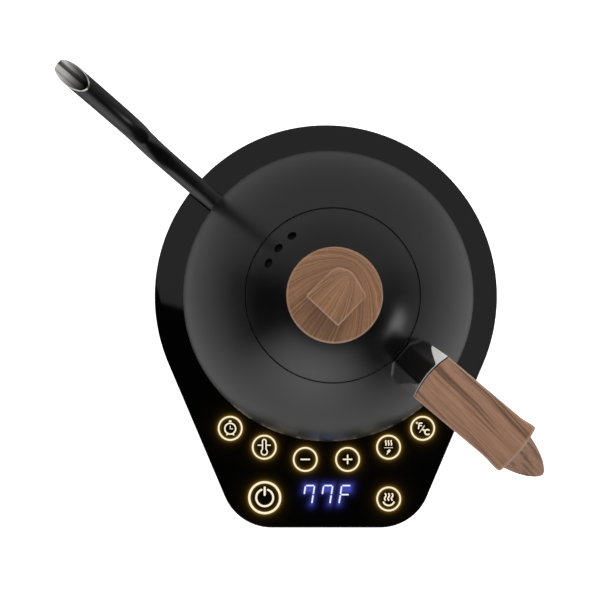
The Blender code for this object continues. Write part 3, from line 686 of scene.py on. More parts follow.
def walnut_along(name, azimuth):
    """Walnut with its grain along a level direction: streaks, rings and pores, and a painted highlight on the
    top's rounded edges.
    """
    graph = Finish(name, WOOD_MID, 0.5)
    warp = graph.noise(20.0, 2.0, 0.5)
    along = graph.mapped((1.0, 1.0, 1.0), (0.0, 0.0, azimuth))
    bent = graph.vector('ADD', along, graph.mix(1.0, (0.0, 0.0045, 0.002, 1.0), warp, 'MULTIPLY'))
    streaks = graph.noise(1.0, 2.0, 0.55, graph.vector('MULTIPLY', bent, (14.0, 540.0, 90.0)))
    fine = graph.noise(1.0, 4.0, 0.65, graph.vector('MULTIPLY', bent, (80.0, 1700.0, 500.0)))
    pores = graph.noise(1.0, 2.0, 0.5, graph.vector('MULTIPLY', bent, (280.0, 4200.0, 1400.0)))
    tone = graph.ramp(streaks, (0.33, WOOD_DARK), (0.45, WOOD_MID), (0.66, WOOD_LIGHT))
    shade = graph.ramp(fine, (0.32, (0.76, 0.73, 0.71)), (0.60, (1.05, 1.05, 1.05)))
    tone = graph.mix(1.0, tone, shade, 'MULTIPLY')
    pits = graph.ramp(pores, (0.28, (0.62, 0.58, 0.55)), (0.40, (1.0, 1.0, 1.0)))
    tone = graph.mix(0.8, tone, pits, 'MULTIPLY')
    # Painted highlight: the rounded edges on the grip's top are lightened toward the highlight tone.
    on_top = graph.math('GREATER_THAN', graph.split(graph.place)[2], GRIP_EDGE_HEIGHT)
    edge_highlight = graph.math('MULTIPLY', graph.edge_highlight_mask(0.86, 0.97), on_top)
    graph.set("Base Color", graph.mix(graph.math('MULTIPLY', edge_highlight, 0.45), tone, (*EDGE_HIGHLIGHT_TONE, 1.0)))
    graph.set("Roughness", graph.span(fine, 0.3, 0.7, 0.55, 0.42))
    graph.bump(graph.math('ADD', fine, pores), 0.00005, 0.35)
    return graph.material


def walnut_end_grain(focus, apex_azimuth):
    """Walnut cut across: growth rings as nested arches round a focus, open away from apex_azimuth, with a
    painted highlight on the rounded edges.
    """
    graph = Finish("walnut_end_grain", WOOD_MID, 0.5)
    x, y, z = graph.split(graph.place)
    flat = graph.join(graph.math('SUBTRACT', x, focus.x), graph.math('SUBTRACT', y, focus.y))
    reach = graph.vector('LENGTH', flat)
    ahead = graph.vector('DOT_PRODUCT', flat, (math.cos(apex_azimuth), math.sin(apex_azimuth), 0.0))
    arch = graph.math('SQRT', graph.math('MAXIMUM', graph.math('ADD', reach, ahead), 0.0))
    bent = graph.math('MULTIPLY_ADD', graph.noise(110.0, 3.0, 0.5), 0.009, arch)
    rings = graph.noise_line(bent, 300.0, 2.0)
    bands = graph.noise_line(bent, 60.0, 1.0)
    vessels = graph.noise(1.0, 3.0, 0.6, graph.mapped((1300.0, 1300.0, 120.0)))
    tone = graph.ramp(rings, (0.34, RING_DARK), (0.50, RING_MID), (0.66, RING_LIGHT))
    broad = graph.ramp(bands, (0.35, (0.86, 0.84, 0.83)), (0.65, (1.10, 1.09, 1.08)))
    tone = graph.mix(1.0, tone, broad, 'MULTIPLY')
    shade = graph.ramp(vessels, (0.30, (0.86, 0.84, 0.82)), (0.60, (1.04, 1.04, 1.04)))
    tone = graph.mix(1.0, tone, shade, 'MULTIPLY')
    # Painted highlight on the rounded edges of the disc and the top, brighter on the side away from the apex.
    on_disc = graph.math('LESS_THAN', z, DISC_TOP)
    off_waist = graph.math('MAXIMUM', on_disc, graph.math('GREATER_THAN', z, WAIST_TOP))
    edge_highlight = graph.math('MULTIPLY', graph.edge_highlight_mask(0.84, 0.96), off_waist)
    edge_highlight_strength = graph.span(ahead, -0.014, 0.004, 0.48, 0.14)
    graph.set("Base Color", graph.mix(graph.math('MULTIPLY', edge_highlight, edge_highlight_strength), tone, (*EDGE_HIGHLIGHT_TONE, 1.0)))
    graph.set("Roughness", graph.span(rings, 0.3, 0.7, 0.55, 0.45))
    graph.bump(graph.math('ADD', rings, vessels), 0.00004, 0.25)
    return graph.material


# ---------------------------------------------------------------- base

OUTLINE_ARC_STEPS = 96
CORNER_ARC_STEPS = 20


def base_outline(inset):
    """The base seen from above, drawn inward by inset."""
    side = BASE_SIDE_ANGLE
    corner_y = -(BASE_FRONT - BASE_CORNER_RADIUS)
    corner_x = (BASE_RADIUS - BASE_CORNER_RADIUS + corner_y * math.sin(side)) / math.cos(side)
    corner = BASE_CORNER_RADIUS - inset
    points = arc((0.0, 0.0), BASE_RADIUS - inset, -side, math.pi + side, OUTLINE_ARC_STEPS)
    points += arc((-corner_x, corner_y), corner, math.pi + side, 1.5 * math.pi, CORNER_ARC_STEPS)
    points += arc((corner_x, corner_y), corner, -0.5 * math.pi, -side, CORNER_ARC_STEPS)
    return points


def outline_ring(inset, height):
    return [Vector((point.x, point.y, height)) for point in base_outline(inset)]


def hole_ring(radius, height):
    """A round ring whose points lie at the same azimuths as the base outline's."""
    return [Vector((*(point.normalized() * radius), height)) for point in base_outline(0.0)]


def outline_solid(name, outside, inside):
    """A flat ring: rounded (inset, height) points outside, then (radius, height) points round the dock."""
    rings = [outline_ring(inset, height) for inset, height in outside]
    rings += [hole_ring(radius, height) for radius, height in inside]
    return skin(name, rings, wrap=True)


def make_housing(finish):
    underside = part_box("base_housing")[0].z
    deck_underside = DECK_TOP - 0.0018
    outside = rounded([
        (0.004, DECK_TOP, 0.0), (0.0, DECK_TOP, 0.0007), (0.0, underside, 0.0006),
        (BASE_WALL, underside, 0.0003), (BASE_WALL, deck_underside, 0.0),
    ], closed=False)
    inside = [(DOCK_HOLE, deck_underside), (DOCK_HOLE, DECK_TOP)]
    piece = outline_solid("housing_shell", outside, inside)
    finish_piece(piece, "base", [finish], "black_plastic", "base_housing")


def make_touch_panel(finish):
    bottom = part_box("touch_panel")[0].z
    outside = rounded([
        (0.004, PANEL_TOP, 0.0), (PANEL_INSET, PANEL_TOP, PANEL_EDGE), (PANEL_INSET, bottom, 0.0002),
        (0.004, bottom, 0.0),
    ], steps=8, closed=False)
    hole = DOCK_HOLE
    inside = [(hole, bottom), (hole, PANEL_TOP - 0.0003), (hole + 0.0001, PANEL_TOP - 0.0001),
              (hole + 0.0003, PANEL_TOP), (hole + 0.0006, PANEL_TOP)]
    piece = outline_solid("glass_panel", outside, inside)
    finish_piece(piece, "base", [finish], "gloss_black", "touch_panel")


def make_underside(finish):
    low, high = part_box("base_bottom_cover")
    inset = 0.0026
    rings = [outline_ring(inset, high.z - 0.0005), outline_ring(inset, low.z + 0.0004),
             outline_ring(inset + 0.0004, low.z)]
    cover = skin("underside_cover", rings, caps=True)
    for index in range(1, 5):
        foot_low, foot_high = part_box(f"foot_{index}")
        place = box_centre(f"foot_{index}")
        radius = (foot_high.x - foot_low.x) / 2.0 + 0.0005
        pocket = rod("pocket", radius, (place.x, place.y, -0.001), (place.x, place.y, 0.0024))
        boolean(cover, pocket)
        place = box_centre(f"base_screw_{index}")
        recess = rod("recess", 0.0032, (place.x, place.y, -0.001), (place.x, place.y, 0.0030))
        boolean(cover, recess)
    finish_piece(cover, "base", [finish], "black_plastic", "base_bottom_cover")


def make_feet(finish):
    for index in range(1, 5):
        low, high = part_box(f"foot_{index}")
        centre = (low + high) / 2.0
        radius = (high.x - low.x) / 2.0
        profile = rounded([
            (0.0, high.z, 0.0), (radius, high.z, 0.0002), (radius, low.z, 0.0007),
            (radius * 0.72, low.z, 0.0003), (radius * 0.66, low.z + 0.0004, 0.0002), (0.0, low.z + 0.0004, 0.0),
        ], closed=False)
        foot = revolve(f"rubber_foot_{index}", profile, 64, False, centre)
        finish_piece(foot, "base", [finish], "rubber", f"foot_{index}")


def make_screw(node, head_radius, head_top, head_bottom, shank_radius, body, finish, name):
    """A pan-head screw seen from below, with a cross recess."""
    low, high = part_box(node)
    centre = (low + high) / 2.0
    profile = rounded([
        (0.0, high.z, 0.0), (shank_radius, high.z, 0.0003), (shank_radius, head_top, 0.0002),
        (head_radius, head_top, 0.0001), (head_radius, head_bottom, 0.0004), (0.0, head_bottom, 0.0),
    ], closed=False)
    screw = revolve(name, profile, 40, False, centre)
    for half_x, half_y in ((0.0011, 0.00028), (0.00028, 0.0011)):
        low_corner = Vector((centre.x - half_x, centre.y - half_y, head_bottom - 0.001))
        high_corner = Vector((centre.x + half_x, centre.y + half_y, head_bottom + 0.00035))
        boolean(screw, block("slot", low_corner, high_corner))
    finish_piece(screw, body, [finish], "bare_steel", node)


def block(name, low, high):
    rings = []
    for height in (low.z, high.z):
        rings.append([
            Vector((low.x, low.y, height)), Vector((high.x, low.y, height)),
            Vector((high.x, high.y, height)), Vector((low.x, high.y, height)),
        ])
    return skin(name, rings, caps=True)


def make_dock(finish, contact):
    low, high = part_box("base_socket")
    top = high.z
    profile = rounded([
        (0.0, 0.0150, 0.0), (0.0043, 0.0150, 0.0), (0.0043, 0.0255, 0.0004), (0.0085, 0.0255, 0.0006),
        (0.0085, 0.0150, 0.0003), (0.0135, 0.0150, 0.0003), (0.0135, top, 0.0008), (0.0298, top, 0.0016),
        (0.0305, 0.0177, 0.0002), (0.0345, 0.0177, 0.0), (0.0345, 0.0160, 0.0), (0.0300, 0.0160, 0.0),
        (0.0300, low.z, 0.0), (0.0, low.z, 0.0),
    ], closed=False)
    dock = revolve("dock", profile, STEPS, False)
    finish_piece(dock, "base", [finish], "black_plastic", "base_socket")
    ring = rounded([
        (0.0128, 0.0178, 0.0003), (0.0128, 0.0153, 0.0), (0.0092, 0.0153, 0.0), (0.0092, 0.0178, 0.0003),
    ])
    finish_piece(revolve("ring_contact", ring, 96), "base", [contact], "brass", "socket_ring_contact")
    low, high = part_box("socket_pin_contact")
    pin = rounded([
        (0.0, high.z, 0.0), (high.x, high.z, 0.0006), (high.x, low.z, 0.0), (0.0, low.z, 0.0),
    ], closed=False)
    finish_piece(revolve("pin_contact", pin, 48, False), "base", [contact], "brass", "socket_pin_contact")


def make_cord_gland(finish):
    """The gland in the rear wall that the mains cord comes out of."""
    height = box_centre("cord_inlet").z
    profile = rounded([
        (0.0055, 0.0948, 0.0006), (0.0055, 0.0918, 0.0), (0.0065, 0.0918, 0.0002), (0.0065, 0.0895, 0.0002),
        (0.0036, 0.0895, 0.0003), (0.0036, 0.0948, 0.0004),
    ])
    rings = []
    for radius, depth in profile:
        rings.append([Vector((point.x, depth, height + point.y)) for point in circle(radius, 0.0, 72)])
    finish_piece(skin("cord_gland", rings, wrap=True), "base", [finish], "rubber", "cord_inlet")


# ---------------------------------------------------------------- key marks

def stroke(body, points, width, closed=False):
    """A flat lit line along (x, y) points, with round ends when it is open."""
    points = [Vector(point) for point in points]
    low = PANEL_TOP + MARK_LIFT
    high = low + MARK_THICKNESS
    count = len(points)
    spans = []
    for index, point in enumerate(points):
        if closed:
            along = points[(index + 1) % count] - points[index - 1]
        else:
            along = points[min(index + 1, count - 1)] - points[max(index - 1, 0)]
        along.normalize()
        spans.append((point, along, width / 2.0))
    if not closed:
        start, along, half = spans[0]
        end, end_along, _ = spans[-1]
        angles = [math.radians(angle) for angle in (20.0, 45.0, 70.0, 86.0)]
        head = [(start - along * half * math.sin(a), along, half * math.cos(a)) for a in angles[::-1]]
        tail = [(end + end_along * half * math.sin(a), end_along, half * math.cos(a)) for a in angles]
        spans = head + spans + tail
    rings = []
    for point, along, half in spans:
        side = Vector((-along.y, along.x)) * half
        left = point + side
        right = point - side
        rings.append([
            Vector((*left, high)), Vector((*right, high)), Vector((*right, low)), Vector((*left, low)),
        ])
    add_skin(body, rings, wrap=closed, caps=not closed)


def ring_points(centre, radius, count=64):
    return arc(centre, radius, 0.0, 2.0 * math.pi, count)[:-1]


def wave(centre, height, swing, count=12):
    """A short upright steam line."""
    points = []
    for step in range(count + 1):
        share = step / count
        sway = swing * math.sin(2.0 * math.pi * share)
        points.append(Vector((centre[0] + sway, centre[1] + height * (share - 0.5))))
    return points


def icon_alarm(body, c):
    stroke(body, ring_points((c.x, c.y - 0.0002), 0.0030), ICON_STROKE, True)
    stroke(body, [(c.x, c.y + 0.0012), (c.x, c.y - 0.0003)], 0.0005)
    stroke(body, [(c.x + 0.0007, c.y - 0.0003), (c.x + 0.0013, c.y - 0.0003)], 0.0005)
    stroke(body, [(c.x - 0.0003, c.y + 0.0039), (c.x + 0.0003, c.y + 0.0039)], 0.0010)
    for side in (-1.0, 1.0):
        stroke(body, [(c.x + side * 0.0015, c.y - 0.0033), (c.x + side * 0.0019, c.y - 0.0036)], 0.0007)


def icon_thermometer(body, c):
    top = arc((c.x, c.y + 0.0033), 0.0010, 0.0, math.pi, 10)
    bulb = arc((c.x, c.y - 0.0026), 0.0017, math.radians(126.0), math.radians(414.0), 22)
    stroke(body, top + bulb, 0.0007, True)
    for side in (-1.0, 1.0):
        stroke(body, [(c.x + side * 0.0016, c.y + 0.0011), (c.x + side * 0.0034, c.y + 0.0011)], 0.0006)


def icon_minus(body, c):
    stroke(body, [(c.x - 0.0023, c.y), (c.x + 0.0023, c.y)], 0.0008)


def icon_plus(body, c):
    icon_minus(body, c)
    for side in (-1.0, 1.0):
        stroke(body, [(c.x, c.y + side * 0.0009), (c.x, c.y + side * 0.0023)], 0.0008)


def icon_boil(body, c):
    for shift in (-0.0015, 0.0, 0.0015):
        stroke(body, wave((c.x + shift, c.y + 0.0024), 0.0025, 0.0002), 0.0007)
    stroke(body, [(c.x - 0.0023, c.y - 0.0003), (c.x + 0.0023, c.y - 0.0003)], 0.0003)
    stroke(body, [(c.x + 0.0004, c.y - 0.0019), (c.x - 0.0002, c.y - 0.0025)], 0.0013)
    stroke(body, [(c.x - 0.0005, c.y - 0.0033), (c.x - 0.0009, c.y - 0.0038)], 0.0005)


def icon_units(body, c):
    """Fahrenheit over Celsius, on a slant."""
    f = c + Vector((-0.0017, 0.0015))
    stroke(body, [f + Vector((-0.0006, -0.0016)), f + Vector((-0.0002, 0.0014))], 0.0007)
    stroke(body, [f + Vector((0.0004, 0.0014)), f + Vector((0.0014, 0.0014))], 0.0007)
    stroke(body, [f + Vector((0.0003, 0.0000)), f + Vector((0.0010, 0.0000))], 0.0007)
    stroke(body, ring_points(f + Vector((-0.0015, 0.0015)), 0.0004, 16), 0.0004, True)
    stroke(body, [c + Vector((-0.0017, -0.0023)), c + Vector((0.0010, 0.0014))], 0.0004)
    k = c + Vector((0.0026, -0.0021))
    stroke(body, arc(k, 0.0014, math.radians(50.0), math.radians(310.0), 16), 0.0008)
    stroke(body, ring_points(k + Vector((-0.0021, 0.0012)), 0.0004, 16), 0.0004, True)


def icon_power(body, c):
    stroke(body, arc(c, 0.0047, math.radians(112.0), math.radians(428.0), 40), 0.0011)
    stroke(body, [(c.x, c.y + 0.0056), (c.x, c.y + 0.0016)], 0.0012)


def icon_warm(body, c):
    for shift in (-0.0019, 0.0, 0.0019):
        stroke(body, wave((c.x + shift, c.y + 0.0011), 0.0036, -0.0004), 0.0008)
    stroke(body, arc((c.x, c.y - 0.0004), 0.0032, math.radians(205.0), math.radians(335.0), 20), 0.0009)


ICONS = (
    icon_alarm, icon_thermometer, icon_minus, icon_plus, icon_boil, icon_units, icon_power, icon_warm,
)


def make_key_marks(marks, finish):
    for index, ((x, y, radius), icon) in enumerate(zip(marks, ICONS), start=1):
        body = bmesh.new()
        centre = Vector((x, y))
        width = RING_STROKE * radius / marks[0][2]
        stroke(body, ring_points(centre, radius - width / 2.0, 96), width, True)
        icon(body, centre)
        finish_piece(to_piece(f"key_mark_{index}", body), "base", [finish], "light_guide")


# Seven segments: a top, b upper right, c lower right, d bottom, e lower left, f upper left, g middle.
DIGITS = {"7": "abcf", "F": "aefg"}
READOUT = "77F"
DIGIT_PITCH = 0.0100
DIGIT_SIZE = (0.0050, 0.0100)
DIGIT_SLANT = 0.16


def segment_ends(letter):
    """Start and end of a segment in a digit one unit wide and two units high, centred."""
    low, mid, high = -1.0, 0.0, 1.0
    ends = {
        "a": ((-0.5, high), (0.5, high)), "g": ((-0.5, mid), (0.5, mid)), "d": ((-0.5, low), (0.5, low)),
        "f": ((-0.5, high), (-0.5, mid)), "b": ((0.5, high), (0.5, mid)),
        "e": ((-0.5, mid), (-0.5, low)), "c": ((0.5, mid), (0.5, low)),
    }
    return ends[letter]


def readout_glow(centre):
    """Boxes, in upright digit space, that the readout's glow surrounds: each digit's top bar and stem."""
    boxes = []
    half_width, half_height = DIGIT_SIZE[0] / 2.0, DIGIT_SIZE[1] / 2.0
    for place, digit in enumerate(READOUT):
        middle = centre.x + (place - 1) * DIGIT_PITCH
        stem = middle + (half_width if digit == "7" else -half_width)
        boxes.append((stem, centre.y, 0.0, half_height))
        boxes.append((middle, centre.y + half_height * 0.7, half_width, half_height * 0.3))
    return boxes


def readout_segments(centre):
    """Start and end of each lit segment on the panel."""
    segments = []
    for place, digit in enumerate(READOUT):
        middle = centre.x + (place - 1) * DIGIT_PITCH
        for letter in DIGITS[digit]:
            ends = []
            for x, y in segment_ends(letter):
                height = y * DIGIT_SIZE[1] / 2.0
                ends.append(Vector((middle + x * DIGIT_SIZE[0] + height * DIGIT_SLANT, centre.y + height)))
            segments.append(ends)
    return segments


def make_readout(segments, finish):
    body = bmesh.new()
    for start, end in segments:
        inward = (end - start).normalized() * SEGMENT_GAP
        stroke(body, [start + inward, end - inward], SEGMENT_STROKE)
    finish_piece(to_piece("readout", body), "base", [finish], "light_guide")


# ---------------------------------------------------------------- kettle

def dome_profile(count=44):
    """The kettle's outer dome, from the lid joint down to the widest point."""
    pull = 0.0320
    return bezier(
        (JOINT_RADIUS, JOINT_HEIGHT),
        (JOINT_RADIUS + pull * math.cos(JOINT_SLOPE), JOINT_HEIGHT - pull * math.sin(JOINT_SLOPE)),
        (BELLY_RADIUS, BELLY_HEIGHT + 0.0290),
        (BELLY_RADIUS, BELLY_HEIGHT),
        count,
    )


def wall_profile(count=20):
    """The kettle's outer wall below the widest point, turned in at the bottom."""
    low_side = (0.0731, 0.0325)
    wall = bezier((BELLY_RADIUS, BELLY_HEIGHT), (BELLY_RADIUS, 0.0460), (0.0739, 0.0400), low_side, count)
    wall += bezier(low_side, (0.0727, 0.0290), (0.0722, 0.0262), (0.0700, WALL_BOTTOM), count)[1:]
    return wall[1:]


def dome_radius(height, profile=dome_profile(120)):
    """The shell's outer radius at a height between the belly and the lid joint."""
    if height >= JOINT_HEIGHT:
        return JOINT_RADIUS
    for upper, lower in zip(profile, profile[1:]):
        if lower.y <= height <= upper.y:
            share = (height - lower.y) / (upper.y - lower.y)
            return lower.x + (upper.x - lower.x) * share
    return BELLY_RADIUS


def shell_height(radius, profile=dome_profile(120)):
    """The dome's height at a radius between the lid joint and the belly."""
    for upper, lower in zip(profile, profile[1:]):
        if radius <= lower.x:
            share = (radius - upper.x) / (lower.x - upper.x)
            return upper.y + (lower.y - upper.y) * share
    return BELLY_HEIGHT


def outside_shell(point):
    """How far a point is outside the shell, along its radius."""
    return math.hypot(point.x, point.y) - dome_radius(point.z)


def on_shell(point):
    """The place on the shell at the point's height and azimuth."""
    share = (dome_radius(point.z) - NECK_SINK) / math.hypot(point.x, point.y)
    return Vector((point.x * share, point.y * share, point.z))


def make_shell(paint, steel):
    skin_points = dome_profile() + wall_profile()
    inside = [
        point for point in offset_inward(skin_points, BODY_WALL)
        if point.x > SEAT_RADIUS + BODY_WALL and point.y > WALL_BOTTOM
    ]
    bottom_radius = offset_inward(skin_points, BODY_WALL)[-1].x
    body = bmesh.new()
    lip = [Vector((SEAT_RADIUS + 0.0001, JOINT_HEIGHT - 0.0002))]
    outer = [circle(radius, height) for radius, height in lip + skin_points]
    inner = [circle(radius, height) for radius, height in [(bottom_radius, WALL_BOTTOM)] + inside[::-1]]
    inner.append(circle(SEAT_RADIUS, JOINT_HEIGHT - 0.0006))
    add_skin(body, outer, slot_index=0)
    add_skin(body, [outer[-1]] + inner + [outer[0]], slot_index=1)
    shell = to_piece("shell", body)
    bore = rod(
        "bore", SPOUT_ROOT_RADIUS - SPOUT_WALL,
        at_azimuth(SPOUT_AZIMUTH, 0.060, 0.0490), at_azimuth(SPOUT_AZIMUTH, 0.082, 0.0521),
    )
    boolean(shell, bore)
    finish_piece(shell, "kettle", [paint, steel], "satin_black", "kettle_body")


def make_spout(paint, steel):
    """A swept tube: a small weld on the shell, an S bend, and a mouth cut level."""
    path = smooth_path(SPOUT_PATH, 10)
    turn = Matrix.Rotation(SPOUT_AZIMUTH, 3, 'Z')

    def point_at(position, angle, inset):
        """A point of the wall, at a position from 0 to 1 along the path."""
        place = position * (len(path) - 1)
        index = min(len(path) - 2, int(place))
        centre = path[index].lerp(path[index + 1], place - index)
        ahead = (path[min(len(path) - 1, index + 2)] - path[max(0, index - 1)]).normalized()
        radius = SPOUT_ROOT_RADIUS + (SPOUT_TIP_RADIUS - SPOUT_ROOT_RADIUS) * ease(centre.y, 0.060, 0.135)
        lifted = centre + Vector((-ahead.y, ahead.x)) * (radius - inset) * math.cos(angle)
        return Vector((lifted.x, (radius - inset) * math.sin(angle), lifted.y))

    def past_mouth(point):
        """Whether a point is above the mouth's level edge or beyond its squared far end."""
        end = MOUTH_END - MOUTH_END_BOW * (point.y / SPOUT_TIP_RADIUS) ** 2
        return point.z > SPOUT_MOUTH_HEIGHT or point.x > end

    def mouth_position(angle, inset):
        """Where the wall's line at this angle reaches the mouth's edge."""
        return crossing(0.6, 1.0, lambda at: past_mouth(point_at(at, angle, inset)))

    def root_position(angle, inset, distance):
        """Where the wall's line at this angle is this far outside the shell."""
        return crossing(0.0, 0.4, lambda at: outside_shell(point_at(at, angle, inset)) > distance)

    angles = [2.0 * math.pi * i / SPOUT_STEPS for i in range(SPOUT_STEPS)]

    def wall(inset, distance):
        starts = [root_position(angle, inset, distance) for angle in angles]
        ends = [mouth_position(angle, inset) for angle in angles]
        rings = []
        for step in range(SPOUT_TUBE_ROWS + 1):
            share = step / SPOUT_TUBE_ROWS
            rings.append([
                point_at(start + (SPOUT_BEND_END - start) * share, angle, inset)
                for angle, start in zip(angles, starts)
            ])
        for step in range(1, SPOUT_MOUTH_ROWS + 1):
            share = step / SPOUT_MOUTH_ROWS
            rings.append([
                point_at(SPOUT_BEND_END + (end - SPOUT_BEND_END) * share, angle, inset)
                for angle, end in zip(angles, ends)
            ])
        return rings

    def weld_ring(share):
        """A fillet between the shell's side and the tube."""
        ring = []
        for angle in angles:
            corner = point_at(root_position(angle, 0.0, 0.0), angle, 0.0)
            on_tube = point_at(root_position(angle, 0.0, SPOUT_WELD), angle, 0.0)
            opposite = point_at(root_position(angle, 0.0, 0.0), angle + math.pi, 0.0)
            foot = on_shell(corner + (corner - opposite).normalized() * SPOUT_WELD)
            ring.append(bend(foot, corner, on_tube, share))
        return ring

    outer = [weld_ring(step / SPOUT_WELD_ROWS) for step in range(SPOUT_WELD_ROWS)] + wall(0.0, SPOUT_WELD)
    inner = wall(SPOUT_WALL, -0.0015)
    lip = [
        [Vector(a).lerp(b, share) + Vector((0.0, 0.0, 0.00010)) for a, b in zip(outer[-1], inner[-1])]
        for share in (0.25, 0.75)
    ]
    body = bmesh.new()
    add_skin(body, [[turn @ point for point in ring] for ring in outer], slot_index=0)
    inside = [outer[-1]] + lip + inner[::-1] + [outer[0]]
    add_skin(body, [[turn @ point for point in ring] for ring in inside], slot_index=1)
    finish_piece(to_piece("gooseneck", body), "kettle", [paint, steel], "satin_black", "spout")


def handle_point(distance, across, height):
    """A point in the handle's own frame: distance from the axis, sideways and height."""
    return Matrix.Rotation(HANDLE_AZIMUTH, 3, 'Z') @ Vector((distance, across, height))


def neck_arch(share):
    """Height of the neck's section across its half width: a crowned top, sloping flanks and steep skirts."""
    past = share - NECK_SHOULDER
    flank = (past + math.hypot(past, NECK_ROUND)) / 2.0
    skirt = max(0.0, share - NECK_SKIRT_START)
    return 1.0 - NECK_CROWN * share ** 2 - NECK_FLANK * flank - NECK_SKIRT * skirt


def neck_surface(distance, across):
    """Height of the dome with the handle's arched neck blended into it."""
    beyond = distance - NECK_TOP[0]
    half_width = NECK_HALF_WIDTH + NECK_WIDENING * beyond
    neck = NECK_TOP[1] + NECK_RISE * beyond - NECK_HEIGHT * (1.0 - neck_arch(abs(across) / half_width))
    dome = shell_height(math.hypot(distance, across))
    blend = max(0.0, NECK_BLEND - abs(dome - neck))
    return max(dome, neck) + blend ** 2 / (4.0 * NECK_BLEND)


def bow(across):
    """How far the grip's front bulges toward the kettle."""
    return FRONT_BOW * max(0.0, 1.0 - (across / GRIP_HALF_WIDTH) ** 2)


def ferrule_bow(height, across):
    """The same for the ferrule, whose front is rounder lower down."""
    top, knee = WEDGE[:2]
    depth = min(1.0, max(0.0, (top[1] - height) / (top[1] - knee[1])))
    return bow(across) * (1.0 + FERRULE_CROWN * depth)


def ferrule_face(height, across):
    """Distance of the bracket's end from the axis, just short of the ferrule's front."""
    top, knee = WEDGE[:2]
    share = min(1.0, max(0.0, (height - knee[1]) / (top[1] - knee[1])))
    return knee[0] + (top[0] - knee[0]) * share - ferrule_bow(height, across) - FERRULE_GAP


def make_bracket(paint):
    """The neck between the dome and the ferrule, blended into the dome like a casting."""
    rows = 72
    columns = 64
    knee_height = WEDGE[1][1]
    rings = []
    for row in range(rows + 1):
        across = NECK_HALF_SPAN * (2.0 * row / rows - 1.0)
        end = crossing(0.0400, 0.0560, lambda at: at > ferrule_face(neck_surface(at, across), across))
        foot = ferrule_face(0.0, across)
        top = []
        floor = []
        for column in range(columns + 1):
            distance = NECK_INNER + (end - NECK_INNER) * column / columns
            top.append(handle_point(distance, across, neck_surface(distance, across) - NECK_SINK))
            distance = NECK_INNER + (foot - NECK_INNER) * column / columns
            height = shell_height(math.hypot(distance, across)) - NECK_FLOOR
            floor.append(handle_point(distance, across, height))
        middle_height = min(knee_height, (top[-1].z + floor[-1].z) / 2.0)
        middle = handle_point(ferrule_face(middle_height, across), across, middle_height)
        rings.append(top + [middle] + floor[::-1])
    finish_piece(skin("bracket", rings, caps=True), "kettle", [paint], "satin_black", "handle_bracket")


def make_ferrule(steel):
    """A thin wedge of metal across the front of the grip, bowed toward the kettle."""
    outline = rounded([(distance, height, 0.00025) for distance, height in WEDGE], steps=3)
    slices = 20
    rings = []
    for step in range(slices + 1):
        across = GRIP_HALF_WIDTH * (2.0 * step / slices - 1.0)
        ring = []
        for point in outline:
            in_front = point.x < FERRULE_REAR
            bulge = ferrule_bow(point.y, across) if in_front else bow(across)
            ring.append(handle_point(point.x - bulge, across, point.y))
        rings.append(ring)
    finish_piece(skin("ferrule", rings, caps=True), "kettle", [steel], "bare_steel", "handle_ferrule")


def grip_edges(count):
    """The grip's upper and lower edge, seen from the side, as matching points from the front to the tip."""
    upper = bezier((0.0542, 0.1500), (0.0640, 0.1503), (0.0760, 0.1505), (0.0960, 0.1506), 20)
    upper += bezier((0.0985, 0.1506), (0.1006, 0.1505), (0.1020, 0.1500), (0.1020, 0.1482), 10)
    upper += bezier((0.1012, 0.1450), (0.0988, 0.1410), (0.0976, 0.1330), (0.0982, 0.1240), 16)
    upper += bezier((0.0995, 0.1120), (0.1030, 0.0880), (0.1180, 0.0700), (0.1420, 0.0570), 40)
    upper += bezier((0.1440, 0.0557), (0.1452, 0.0548), (0.1458, 0.0535), (0.1460, 0.0522), 5)
    lower = bezier((0.0584, 0.1275), (0.0780, 0.1270), (0.0860, 0.1180), (0.0890, 0.1040), 30)
    lower += bezier((0.0900, 0.0940), (0.0960, 0.0700), (0.1150, 0.0520), (0.1360, 0.0480), 40)
    lower += bezier((0.1400, 0.0480), (0.1435, 0.0483), (0.1452, 0.0492), (0.1460, 0.0510), 6)
    return even(upper, count), even(lower, count)


def even(path, count):
    """A path sampled again at equal steps of its length."""
    marks = [0.0]
    for start, end in zip(path, path[1:]):
        marks.append(marks[-1] + (end - start).length)
    points = []
    index = 0
    for step in range(count + 1):
        target = marks[-1] * step / count
        while index < len(path) - 2 and marks[index + 1] < target:
            index += 1
        share = (target - marks[index]) / (marks[index + 1] - marks[index])
        points.append(path[index].lerp(path[index + 1], min(1.0, share)))
    return points


def rounded_square(round_across, round_up, steps, flats):
    """(across, up) points round a square from -1 to 1, with rounded corners."""
    points = []
    for quarter in range(4):
        start = quarter * math.pi / 2.0
        side_across = 1.0 if quarter in (0, 3) else -1.0
        side_up = 1.0 if quarter in (0, 1) else -1.0
        for step in range(steps + 1):
            angle = start + step / steps * math.pi / 2.0
            points.append((
                side_across * (1.0 - round_across) + round_across * math.cos(angle),
                side_up * (1.0 - round_up) + round_up * math.sin(angle),
            ))
        along = 1.0 - (round_across if quarter in (0, 2) else round_up)
        for step in range(1, flats):
            shift = along * (1.0 - 2.0 * step / flats)
            if quarter in (0, 2):
                points.append((side_across * shift, side_up))
            else:
                points.append((side_across, side_up * shift))
    return points


def grip_half_width(distance, height):
    """Half the grip's width: flared at the lip, and drawn to a point at the tip."""
    width = GRIP_ARM_HALF_WIDTH + (GRIP_HALF_WIDTH - GRIP_ARM_HALF_WIDTH) * ease(height, 0.100, 0.130)
    width += GRIP_LIP_FLARE * ease(distance, 0.094, 0.1005) * ease(height, 0.130, 0.146)
    taper = max(0.0, (distance - GRIP_TAPER) / (GRIP_TIP - GRIP_TAPER))
    return width * max(0.01, 1.0 - taper ** 2) ** 0.6


